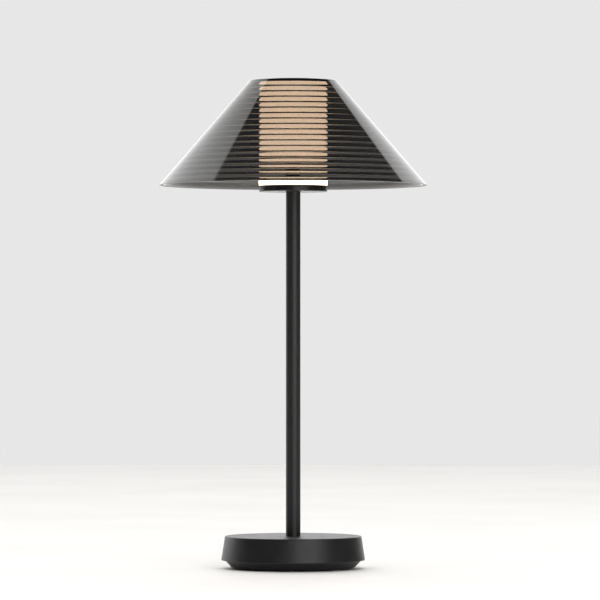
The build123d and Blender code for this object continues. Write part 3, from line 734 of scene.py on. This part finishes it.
def turned(
    name: str, outline: list[Point], steps: int, closed: bool = True
) -> bpy.types.Object:
    """Turn an outline about the lamp's axis, as on a lathe.

    Args:
        name: Name of the finished piece.
        outline: Radius and height of each corner, in metres.
        steps: Segments in a full turn.
        closed: Whether the last corner joins the first; an outline that starts and
            ends on the axis is left open, and its poles close when it is turned.

    Returns:
        The turned piece, in edit mode with nothing selected.
    """
    deselect()
    bpy.ops.mesh.primitive_plane_add(size=MM, location=(0, 0, 0))
    piece = bpy.context.object
    piece.name = name
    bpy.ops.object.mode_set(mode="EDIT")
    bpy.ops.mesh.select_mode(type="VERT")
    bpy.ops.mesh.select_all(action="SELECT")
    bpy.ops.mesh.merge(type="CENTER")
    radius, height = outline[0]
    bpy.ops.transform.translate(value=(radius, 0, height))
    for next_radius, next_height in outline[1:]:
        step = (next_radius - radius, 0, next_height - height)
        bpy.ops.mesh.extrude_vertices_move(TRANSFORM_OT_translate={"value": step})
        radius, height = next_radius, next_height
    if closed:
        mesh = bmesh.from_edit_mesh(piece.data)
        mesh.verts.ensure_lookup_table()
        mesh.verts[0].select = True
        show_selection(piece)
        bpy.ops.mesh.edge_face_add()
    bpy.ops.mesh.select_all(action="SELECT")
    bpy.ops.mesh.spin(steps=steps, angle=2 * pi, center=(0, 0, 0), axis=(0, 0, 1))
    bpy.ops.mesh.select_all(action="SELECT")
    bpy.ops.mesh.remove_doubles(threshold=0.002 * MM)
    bpy.ops.mesh.normals_make_consistent(inside=False)
    bpy.ops.mesh.select_all(action="DESELECT")
    return piece


def round_ring(
    piece: bpy.types.Object, radius: float, height: float, width: float, segments: int = 4
) -> None:
    """Bevel the edge ring at one radius and height of a turned piece in edit mode.

    Args:
        piece: The turned piece.
        radius: The ring's radius, in metres.
        height: The ring's height, in metres.
        width: Width of the rounding, in metres.
        segments: Faces across the rounding.
    """
    bpy.ops.mesh.select_mode(type="EDGE")
    bpy.ops.mesh.select_all(action="DESELECT")
    mesh = bmesh.from_edit_mesh(piece.data)
    near = 0.02 * MM
    for edge in mesh.edges:
        ends = [
            abs(hypot(v.co.x, v.co.y) - radius) < near and abs(v.co.z - height) < near
            for v in edge.verts
        ]
        edge.select = all(ends)
    bmesh.update_edit_mesh(piece.data)
    bpy.ops.mesh.bevel(offset=width, segments=segments, profile=0.5, affect="EDGES")
    bpy.ops.mesh.select_all(action="DESELECT")


def cut_away(piece: bpy.types.Object, cutter: bpy.types.Object) -> None:
    """Cut one closed piece out of another and remove the cutter.

    Args:
        piece: The piece that loses material.
        cutter: The closed shape that is taken out of it.
    """
    apply_modifier(piece, "BOOLEAN", object=cutter, operation="DIFFERENCE", solver="EXACT")
    bpy.data.objects.remove(cutter)


def place_piece(
    piece: bpy.types.Object,
    body: str,
    material: bpy.types.Material,
    nodes: tuple[str, ...] = (),
    crease: float = 34.0,
) -> None:
    """Dress a finished piece and tie it to the frame.

    Args:
        piece: The finished piece.
        body: CAD body that it rides on.
        material: Its finish.
        nodes: CAD nodes that it stands for.
        crease: Edges sharper than this many degrees stay sharp.
    """
    smooth(piece, crease)
    piece.data.materials.clear()
    piece.data.materials.append(material)
    if nodes:
        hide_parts(*nodes)
    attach(piece, body)
    LOG.info("%s: %d faces, rides on %s", piece.name, len(piece.data.polygons), body)


def dress_node(node: str, material: bpy.types.Material) -> None:
    """Give a CAD node that stays as it is a better finish.

    Args:
        node: Name of the CAD node.
        material: Its finish.
    """
    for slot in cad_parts[node].material_slots:
        slot.material = material
    LOG.info("%s: CAD node, finish %s", node, material.name)


def arc_points(start: Point, end: Point, rise: float, count: int) -> list[Point]:
    """Points on a circular arc that bulges to the left of its chord.

    Args:
        start: First end of the arc.
        end: Last end of the arc.
        rise: Height of the arc over the middle of its chord.
        count: Segments in the arc.

    Returns:
        The points after the start, up to and with the end.
    """
    along = Vector(end) - Vector(start)
    half = along.length / 2
    radius = (half * half + rise * rise) / (2 * rise)
    middle = (Vector(start) + Vector(end)) / 2
    left = Vector((-along.y, along.x)).normalized()
    centre = middle + left * (rise - radius)
    reach = asin(half / radius)
    points = []
    for i in range(1, count + 1):
        turn = reach * (2 * i / count - 1)
        spot = centre + left * radius * cos(turn) + along.normalized() * radius * sin(turn)
        points.append((spot.x, spot.y))
    return points


# ---- Head ----------------------------------------------------------------------------


@dataclass
class Shade:
    """Smoked cone: polished outside, moulded with rounded horizontal rings inside.

    The narrow lands between the rings and the rim's end keep the mould's satin; the rim's end
    is also painted pale as the glow of light carried in the wall.
    """

    polished: bpy.types.Material
    satin: bpy.types.Material
    rim: bpy.types.Material
    wall: float = 2.2 * MM
    flange: float = 3.0 * MM
    top_radius: float = 35.5 * MM
    hole_radius: float = 27.0 * MM
    rib_count: int = 18
    rib_rise: float = 0.9 * MM
    rib_faces: int = 10
    land: float = 0.36 * MM
    near_line: float = 0.03 * MM
    edge: float = 0.45 * MM
    crease: float = 22.0
    steps: int = 256

    def inner_point(self, z: float) -> Point:
        """Point of the smooth inner wall, on which the lands lie, at one height.

        Args:
            z: Height, in metres.

        Returns:
            Radius and height, in metres.
        """
        low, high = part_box("shade")
        slope = (high.x + self.edge - self.top_radius) / (high.z - low.z)
        return self.top_radius + (high.z - z) * slope - self.wall * hypot(1, slope), z

    def dress_lands(self, shade: bpy.types.Object) -> None:
        """Give the lands between the rings and the rim's end their own finishes.

        Args:
            shade: The placed shade, with all three finishes in its slots.
        """
        low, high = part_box("shade")
        rim_line = self.inner_point(low.z)[0]
        seat_line = self.inner_point(high.z)[0]
        fall = (rim_line - seat_line) / (high.z - low.z)
        for face in shade.data.polygons:
            spot = face.center
            line = seat_line + (high.z - spot.z) * fall
            if abs(hypot(spot.x, spot.y) - line) < self.near_line:
                face.material_index = 1
            # The rim's end gets the pale finish: painted glow of light carried along the wall.
            elif spot.z < low.z + self.edge:
                face.material_index = 2

    def build(self) -> None:
        """Model the shade on the box of its CAD node."""
        low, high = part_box("shade")
        rim_radius = high.x + self.edge
        seat = high.z - self.flange
        pitch = (seat - low.z) / self.rib_count
        outline = [
            (self.hole_radius, seat),
            (self.hole_radius, high.z),
            (self.top_radius, high.z),
            (rim_radius, low.z),
            self.inner_point(low.z),
        ]
        for i in range(self.rib_count):
            start = self.inner_point(low.z + i * pitch + self.land / 2)
            end = self.inner_point(low.z + (i + 1) * pitch - self.land / 2)
            outline.append(start)
            outline += arc_points(start, end, self.rib_rise, self.rib_faces)
        outline.append(self.inner_point(seat))
        shade = turned("smoked_shade", outline, self.steps)
        round_ring(shade, rim_radius, low.z, self.edge, 8)
        round_ring(shade, self.top_radius, high.z, self.edge, 4)
        round_ring(shade, self.hole_radius, high.z, self.edge, 5)
        settle(shade, "smoked_shade")
        place_piece(
            shade, "shade", self.polished, ("shade",), crease=self.crease
        )
        shade.data.materials.append(self.satin)
        shade.data.materials.append(self.rim)
        self.dress_lands(shade)


@dataclass
class LitDrum:
    """Diffuser between its two black caps, with the solar panel in the upper one."""

    opal: bpy.types.Material
    black: bpy.types.Material
    polished: bpy.types.Material
    clear: bpy.types.Material
    cells: bpy.types.Material
    steps: int = 192
    diffuser_wall: float = 1.8 * MM
    cap_wall: float = 1.9 * MM
    cap_edge: float = 0.5 * MM
    plate_edge: float = 0.8 * MM
    recess: float = 3.2 * MM
    skirt_wall: float = 3.1 * MM
    socket_radius: float = 6.05 * MM
    socket_depth: float = 6.5 * MM
    screw_circle: float = 10.3 * MM
    screw_turns: tuple[float, ...] = (30, 150, 270)
    screw_pocket_radius: float = 2.45 * MM
    screw_pocket_depth: float = 1.8 * MM
    plug_step: float = 1.12

    def build_diffuser(self) -> None:
        """Model the opal tube."""
        low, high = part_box("diffuser")
        inner = high.x - self.diffuser_wall
        outline = [(inner, low.z), (high.x, low.z), (high.x, high.z), (inner, high.z)]
        tube = turned("opal_diffuser", outline, self.steps)
        round_ring(tube, high.x, low.z, self.cap_edge / 2, 2)
        settle(tube, "opal_diffuser")
        place_piece(tube, "stand", self.opal, ("diffuser",))

    def build_top_cap(self) -> None:
        """Model the upper cap with the recess that holds the solar panel."""
        low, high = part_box("top_cap")
        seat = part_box("diffuser")[1].z
        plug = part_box("diffuser")[1].x - self.diffuser_wall * self.plug_step
        recess_radius = high.x - self.cap_wall
        floor = high.z - self.recess
        outline = [
            (0, floor - self.recess),
            (plug - self.skirt_wall, floor - self.recess),
            (plug - self.skirt_wall, low.z),
            (plug, low.z),
            (plug, seat),
            (high.x, seat),
            (high.x, high.z),
            (recess_radius, high.z),
            (recess_radius, floor),
            (0, floor),
        ]
        cap = turned("solar_bezel", outline, self.steps, closed=False)
        round_ring(cap, high.x, high.z, self.cap_edge, 4)
        round_ring(cap, recess_radius, high.z, self.cap_edge / 2, 2)
        settle(cap, "solar_bezel")
        place_piece(cap, "stand", self.black, ("top_cap",))

    def build_solar_cover(self) -> None:
        """Model the clear disc over the cells, with a small polished chamfer."""
        low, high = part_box("solar_cover")
        outline = [(0, low.z), (high.x, low.z), (high.x, high.z), (0, high.z)]
        disc = turned("solar_window", outline, self.steps, closed=False)
        round_ring(disc, high.x, high.z, self.cap_edge / 2, 3)
        settle(disc, "solar_window")
        place_piece(disc, "stand", self.clear, ("solar_cover",))

    def build_bottom_cap(self) -> None:
        """Model the lower cap with the stem's socket and three screw pockets."""
        low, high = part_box("bottom_cap")
        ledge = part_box("diffuser")[0].z
        plug = high.x - self.diffuser_wall * self.plug_step
        socket_top = low.z + self.socket_depth
        outline = [
            (0, socket_top),
            (self.socket_radius, socket_top),
            (self.socket_radius, low.z),
            (high.x, low.z),
            (high.x, ledge),
            (plug, ledge),
            (plug, high.z),
            (0, high.z),
        ]
        cap = turned("drum_base_plate", outline, self.steps, closed=False)
        round_ring(cap, high.x, low.z, self.plate_edge, 5)
        round_ring(cap, self.socket_radius, low.z, self.cap_edge / 2, 2)
        settle(cap, "drum_base_plate")
        for turn in self.screw_turns:
            deselect()
            spot = (
                self.screw_circle * cos(radians(turn)),
                self.screw_circle * sin(radians(turn)),
                low.z,
            )
            bpy.ops.mesh.primitive_cylinder_add(
                vertices=32,
                radius=self.screw_pocket_radius,
                depth=2 * self.screw_pocket_depth,
                location=spot,
            )
            cut_away(cap, bpy.context.object)
        place_piece(cap, "stand", self.polished, ("bottom_cap",))

    def build(self) -> None:
        """Build every piece of the drum."""
        self.build_diffuser()
        self.build_top_cap()
        self.build_solar_cover()
        self.build_bottom_cap()
        dress_node("solar_cells", self.cells)


# ---- Stem and base -------------------------------------------------------------------


@dataclass
class Stem:
    """Thin tube between the base and the drum."""

    material: bpy.types.Material
    wall: float = 1.0 * MM
    edge: float = 0.2 * MM
    steps: int = 96

    def build(self) -> None:
        """Model the tube."""
        low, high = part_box("stem")
        inner = high.x - self.wall
        outline = [(inner, low.z), (high.x, low.z), (high.x, high.z), (inner, high.z)]
        tube = turned("stem_tube", outline, self.steps)
        round_ring(tube, high.x, low.z, self.edge, 2)
        round_ring(tube, high.x, high.z, self.edge, 2)
        settle(tube, "stem_tube")
        place_piece(tube, "stand", self.material, ("stem",))


@dataclass
class Base:
    """Weighted base: flared cover over a bevelled tray on four rubber feet."""

    cover_finish: bpy.types.Material
    tray_finish: bpy.types.Material
    rubber: bpy.types.Material
    steps: int = 256
    wall: float = 2.4 * MM
    flare: float = 3.0 * MM
    past_cad: float = 0.12 * MM
    top_round: float = 0.8 * MM
    low_round: float = 0.5 * MM
    socket_radius: float = 6.05 * MM
    socket_depth: float = 6.5 * MM
    socket_floor: float = 3.0 * MM
    stud_hole_radius: float = 4.1 * MM
    boss_wall: float = 3.4 * MM
    tray_bevel: float = 5.6 * MM
    tray_round: float = 1.2 * MM
    tray_floor: float = 2.0 * MM
    lip_step: float = 1.0 * MM
    lip_wall: float = 2.0 * MM
    window_half_width: float = 17.1 * MM
    window_gap: float = 0.1 * MM
    flange_rise: float = 1.3 * MM
    window_depth: float = 0.4
    screw_circle: float = 44.0 * MM
    screw_turns: tuple[float, ...] = (-90, 30, 150)
    screw_pocket_radius: float = 3.0 * MM
    screw_pocket_depth: float = 3.0 * MM
    foot_radius: float = 5.0 * MM
    foot_gap: float = 0.1 * MM
    foot_pocket_depth: float = 1.2 * MM
    notch_gap: float = 0.3 * MM
    notch_height: float = 10.0 * MM
    notch_floor: float = 0.01 * MM

    def build_cover(self) -> None:
        """Model the flared shell, then cut the window for the rear panel."""
        low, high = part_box("base_cover")
        wide = high.x + self.past_cad
        top_radius = wide - self.flare
        under = high.z - self.wall
        boss = self.socket_radius + self.boss_wall
        shelf = high.z - self.socket_depth
        boss_low = shelf - self.socket_floor
        outline = [
            (self.socket_radius, high.z),
            (top_radius, high.z),
            (wide, low.z),
            (wide - self.wall, low.z),
            (top_radius - self.wall, under),
            (boss, under),
            (boss, boss_low),
            (self.stud_hole_radius, boss_low),
            (self.stud_hole_radius, shelf),
            (self.socket_radius, shelf),
        ]
        cover = turned("base_shell", outline, self.steps)
        round_ring(cover, top_radius, high.z, self.top_round, 6)
        round_ring(cover, wide, low.z, self.low_round, 4)
        round_ring(cover, self.socket_radius, high.z, self.low_round / 2, 2)
        settle(cover, "base_shell")
        panel_low, panel_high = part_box("port_panel")
        window_low = panel_low.z + self.flange_rise - self.window_gap
        window_high = panel_high.z - self.flange_rise + self.window_gap
        deselect()
        bpy.ops.mesh.primitive_cube_add(
            size=1,
            location=(0, wide, (window_low + window_high) / 2),
            scale=(
                2 * self.window_half_width,
                self.window_depth * wide,
                window_high - window_low,
            ),
        )
        cut_away(cover, bpy.context.object)
        place_piece(cover, "stand", self.cover_finish, ("base_cover",))

    def build_tray(self) -> None:
        """Model the bevelled tray with its screw pockets and foot recesses."""
        low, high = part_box("base_tray")
        edge_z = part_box("base_cover")[0].z
        low_radius = high.x - self.tray_bevel
        lip = high.x - self.lip_step
        floor = low.z + self.tray_floor
        outline = [
            (0, low.z),
            (low_radius, low.z),
            (high.x, edge_z),
            (lip, edge_z),
            (lip, high.z),
            (lip - self.lip_wall, high.z),
            (lip - self.lip_wall, edge_z),
            (low_radius - self.lip_step, floor),
            (0, floor),
        ]
        tray = turned("base_pan", outline, self.steps, closed=False)
        round_ring(tray, low_radius, low.z, self.tray_round, 5)
        round_ring(tray, high.x, edge_z, self.low_round / 2, 2)
        settle(tray, "base_pan")
        cutters = []
        foot_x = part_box("rubber_feet")[1].x - self.foot_radius
        for side_x in (-1, 1):
            for side_y in (-1, 1):
                spot = (side_x * foot_x, side_y * foot_x, low.z)
                radius = self.foot_radius + self.foot_gap
                cutters.append((spot, radius, self.foot_pocket_depth))
        for turn in self.screw_turns:
            spot = (
                self.screw_circle * cos(radians(turn)),
                self.screw_circle * sin(radians(turn)),
                low.z,
            )
            cutters.append((spot, self.screw_pocket_radius, self.screw_pocket_depth))
        for spot, radius, depth in cutters:
            deselect()
            bpy.ops.mesh.primitive_cylinder_add(
                vertices=48, radius=radius, depth=depth, location=spot
            )
            cut_away(tray, bpy.context.object)
        deselect()
        panel_low, panel_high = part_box("port_panel")
        bpy.ops.mesh.primitive_cube_add(
            size=1,
            location=(0, high.x, edge_z + self.notch_height / 2),
            scale=(
                panel_high.x - panel_low.x + 2 * self.notch_gap,
                2 * (high.x - panel_low.y),
                self.notch_height - 2 * self.notch_floor,
            ),
        )
        cut_away(tray, bpy.context.object)
        place_piece(tray, "stand", self.tray_finish, ("base_tray",))

    def build(self) -> None:
        """Build the cover and the tray, and dress the feet."""
        self.build_cover()
        self.build_tray()
        dress_node("rubber_feet", self.rubber)


# ---- Studio --------------------------------------------------------------------------


@dataclass
class Studio:
    """Pale floor, soft backdrop light and the camera in front of the lamp."""

    camera_distance: float = 3.40
    camera_height: float = 0.191
    aim: tuple[float, float, float] = (0.0056, 0.0, 0.220)
    picture_width: float = 0.492
    sensor_mm: float = 36.0
    clip_end: float = 100.0
    floor_radius: float = 2.72
    floor_cloud_mm: float = 220.0
    wall_level: float = 0.80
    room_level: float = 0.10
    backdrop_aim: tuple[float, float, float] = (-0.238, 0.921, 0.307)
    backdrop_reach: float = 50.8
    backdrop_level: float = 1.6
    backdrop_edge: float = 1.2

    def build_camera(self) -> None:
        """Place the camera at eye level with the middle of the stem."""
        data = bpy.data.cameras.new("camera")
        distance = self.camera_distance
        data.sensor_width = self.sensor_mm
        data.lens = self.sensor_mm * distance / self.picture_width
        data.clip_end = self.clip_end
        camera = bpy.data.objects.new("camera", data)
        camera.location = (0, -distance, self.camera_height)
        direction = Vector(self.aim) - camera.location
        camera.rotation_euler = direction.to_track_quat("-Z", "Y").to_euler()
        bpy.context.scene.collection.objects.link(camera)
        bpy.context.scene.camera = camera

    def build_floor(self) -> None:
        """Lay a large pale floor."""
        deselect()
        bpy.ops.mesh.primitive_circle_add(
            vertices=128, radius=self.floor_radius, fill_type="NGON", location=(0, 0, 0)
        )
        floor = bpy.context.object
        settle(floor, "floor")
        material = empty_material("pale_studio_floor")
        tree = material.node_tree
        place = add_node(tree, "ShaderNodeTexCoord").outputs["Object"]
        sockets: Sockets = {
            "Vector": place,
            "Scale": per_metre(self.floor_cloud_mm),
            "Detail": 3.0,
        }
        cloud = add_node(tree, "ShaderNodeTexNoise", sockets).outputs["Fac"]
        sockets = {"Value": cloud, **NOISE_MIDDLE, "To Min": 0.0, "To Max": 1.0}
        clouding = add_node(tree, "ShaderNodeMapRange", sockets)
        sockets = {
            "Factor": clouding.outputs["Result"],
            MIX_LOW: colour("#e9e7e4"),
            MIX_HIGH: colour("#efedea"),
        }
        tint = add_node(tree, "ShaderNodeMix", sockets, data_type="RGBA")
        sockets = {"Base Color": tint.outputs[MIX_RESULT], "Roughness": 0.6, "IOR": 1.3}
        finish_surface(tree, sockets)
        floor.data.materials.append(material)

    def build_world(self) -> None:
        """Light the room: a pale round backdrop behind, dim walls and ceiling elsewhere."""
        world = bpy.data.worlds.new("studio")
        bpy.context.scene.world = world
        world.use_nodes = True
        tree = world.node_tree
        tree.nodes.clear()
        ray = add_node(tree, "ShaderNodeTexCoord").outputs["Generated"]
        aim = Vector(self.backdrop_aim).normalized()
        near = add_node(
            tree, "ShaderNodeVectorMath", {0: ray, 1: aim}, operation="DOT_PRODUCT"
        )
        sockets: Sockets = {
            "Value": near.outputs["Value"],
            "From Min": cos(radians(self.backdrop_reach + self.backdrop_edge)),
            "From Max": cos(radians(self.backdrop_reach - self.backdrop_edge)),
        }
        share = add_node(tree, "ShaderNodeMapRange", sockets, interpolation_type="SMOOTHSTEP")
        sockets = {
            "Factor": share.outputs["Result"],
            MIX_LOW: (*3 * (self.room_level,), 1.0),
            MIX_HIGH: (*3 * (self.backdrop_level,), 1.0),
        }
        room = add_node(tree, "ShaderNodeMix", sockets, data_type="RGBA")
        rays = add_node(tree, "ShaderNodeLightPath")
        sockets = {
            "Factor": rays.outputs["Is Camera Ray"],
            MIX_LOW: room.outputs[MIX_RESULT],
            MIX_HIGH: (*3 * (self.wall_level,), 1.0),
        }
        seen = add_node(tree, "ShaderNodeMix", sockets, data_type="RGBA")
        sockets = {"Color": seen.outputs[MIX_RESULT], "Strength": 1.0}
        light = add_node(tree, "ShaderNodeBackground", sockets)
        add_node(tree, "ShaderNodeOutputWorld", {"Surface": light.outputs["Background"]})

    def build_lamp(
        self,
        name: str,
        turn: float,
        rise: float,
        distance: float,
        size: tuple[float, float],
        power: float,
        glossy: bool = True,
    ) -> None:
        """Add one soft panel that faces the lamp.

        Args:
            name: Name of the light.
            turn: Degrees to the right of the camera, seen from above.
            rise: Degrees above the floor.
            distance: Metres from the lamp.
            size: Width and height, in metres.
            power: Radiant power, in watts.
            glossy: Whether reflections show the panel.
        """
        data = bpy.data.lights.new(name, "AREA")
        data.shape = "RECTANGLE"
        data.size, data.size_y = size
        data.energy = power
        lamp = bpy.data.objects.new(name, data)
        level = distance * cos(radians(rise))
        lamp.location = (
            level * sin(radians(turn)),
            -level * cos(radians(turn)),
            0.2 + distance * sin(radians(rise)),
        )
        direction = Vector((0, 0, 0.2)) - lamp.location
        lamp.rotation_euler = direction.to_track_quat("-Z", "Y").to_euler()
        lamp.visible_camera = False
        lamp.visible_glossy = glossy
        lamp.visible_transmission = False
        bpy.context.scene.collection.objects.link(lamp)

    def build(self) -> None:
        """Build the camera, the floor and the lights."""
        self.build_camera()
        self.build_floor()
        self.build_world()
        self.build_lamp("key_panel", 26, 14, 1.5, (1.3, 1.1), 9.5)
        self.build_lamp("top_panel", 0, 88, 2.6, (6.0, 6.0), 125, glossy=False)
        scene = bpy.context.scene
        scene.view_settings.view_transform = "Standard"
        scene.view_settings.look = "None"


# ---- Whole lamp ----------------------------------------------------------------------


def dress_inner_parts() -> None:
    """Give every CAD node that stays as it is a finish of its own kind."""
    board = CircuitBoard("board_green_solder_mask", "#0d3b22", "#1d6a3c").build()
    zinc = DrawnMetal("steel_zinc_plated", "#a9abad", "#8b8c86", 0.32, 0.25).build()
    brass = DrawnMetal(
        "brass_turned", "#c8a24e", "#9b7a35", 0.3, 0.2, (1.0, 1.0, 6.0)
    ).build()
    aluminium = DrawnMetal("aluminium_extruded", "#c7c9cb", "#a9abae", 0.35, 0.3).build()
    steel = PlainMoulding(
        "steel_oiled_plate", "#4c4a47", "#35322f", 0.4, 0.8, 0.02, 1.0
    ).build()
    shell = DrawnMetal("stainless_stamped", "#b4b5b6", "#9c9d9f", 0.26, 0.15).build()
    rubber = TexturedBlack(
        "silicone_rubber_black", "#141414", "#2b2b2a", Gloss.SOFT.value, 0.3, 0.01
    ).build()
    nylon = PlainMoulding("nylon_black", "#1c1c1c", "#262625", 0.5).build()
    natural = PlainMoulding("nylon_natural", "#e2dccd", "#cfc7b3", 0.45).build()
    epoxy = PlainMoulding("epoxy_moulding", "#1a1a1b", "#2a2a2b", 0.55, 0.3).build()
    phosphor = PlainMoulding("led_phosphor", "#f2d98a", "#e6c469", 0.4, 0.3).build()
    sleeve = PlainMoulding("shrink_sleeve_blue", "#1f4f9c", "#184081", 0.3, 1.5).build()
    sheath = TexturedBlack(
        "cable_sheath_silicone", "#171717", "#2a2a2a", Gloss.SATIN.value, 0.4, 0.006
    ).build()
    moulded = TexturedBlack(
        "abs_black_panel", "#161617", "#2b2a29", Gloss.MATT.value, 0.25, 0.012
    ).build()
    flap = TexturedBlack(
        "flap_silicone_black", "#111112", "#272727", Gloss.SOFT.value, 0.35, 0.01
    ).build()
    button = TexturedBlack(
        "abs_black_button", "#1b1b1c", "#30302f", Gloss.SATIN.value, 0.3, 0.008
    ).build()
    pipe = ClearPlastic("light_pipe_acrylic", "#eef1f2", "#dfe3e5", 0.05, 1.49).build()
    for node, material in {
        "solar_board": board,
        "led_boards": board,
        "driver_board": board,
        "control_board": board,
        "top_core_screws": zinc,
        "bottom_core_screws": zinc,
        "stem_lower_washer": zinc,
        "stem_upper_washer": zinc,
        "stem_lower_nut": zinc,
        "stem_upper_nut": zinc,
        "ballast_screws": zinc,
        "tray_screws": zinc,
        "board_screws": zinc,
        "stem_lower_stud": brass,
        "stem_upper_stud": brass,
        "battery_contacts": brass,
        "led_core": aluminium,
        "ballast_left": steel,
        "ballast_right": steel,
        "usb_port": shell,
        "top_gasket": rubber,
        "bottom_gasket": rubber,
        "battery_holder": nylon,
        "switch_plunger": nylon,
        "board_connectors": natural,
        "driver_components": epoxy,
        "board_components": epoxy,
        "switch_body": epoxy,
        "led_chips": phosphor,
        "battery_cell": sleeve,
        "wiring_harness": sheath,
        "battery_leads": sheath,
        "port_panel": moulded,
        "port_flap": flap,
        "button": button,
        "charge_light_pipe": pipe,
    }.items():
        dress_node(node, material)


def main() -> None:
    """Build the studio and the lamp."""
    logging.basicConfig(level=logging.INFO, format="%(name)s: %(message)s")
    Studio().build()

    powder = TexturedBlack(
        "powder_coat_matt_black", "#0a0a0b", "#1a1a19", Gloss.MATT.value, 0.5, 0.012
    ).build()
    moulded = TexturedBlack(
        "abs_black_spark_eroded", "#0a0a0b", "#1a1a19", Gloss.MATT.value, 0.3, 0.012
    ).build()
    gloss = TexturedBlack(
        "abs_black_polished", "#0a0a0b", "#171716", Gloss.POLISHED.value, 0.3, 0.003
    ).build()
    rubber = TexturedBlack(
        "foot_rubber_black", "#121212", "#262625", Gloss.SOFT.value, 0.4, 0.02
    ).build()
    smoke = ClearPlastic(
        "polycarbonate_smoked_polished", "#474644", "#45423f", 0.0, 1.585, 0.01
    ).build()
    satin = ClearPlastic(
        "polycarbonate_smoked_satin", "#474644", "#45423f", 0.55, 1.585, 0.1
    ).build()
    # Pale grey end face: painted glow of light carried along the smoked wall, over a real
    # satin finish.
    rim = PaintedGlowEdge("polycarbonate_smoked_edge_painted_glow", "#8f8f8e", 0.4, 0.3, 1.585).build()
    clear = ClearPlastic("polycarbonate_clear", "#e4e9ea", "#d9dfe0", 0.02, 1.58).build()
    low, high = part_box("diffuser")
    opal = LitOpal(
        "polycarbonate_opal_lit", "#efe6d8", "#ffdfc1", 11.0, low.z, high.z
    ).build()
    cells = SiliconCells("silicon_cells_fingered").build()

    Shade(smoke, satin, rim).build()
    LitDrum(opal, moulded, gloss, clear, cells).build()
    Stem(powder).build()
    Base(powder, moulded, rubber).build()
    dress_inner_parts()


if __name__ == "__main__":
    main()
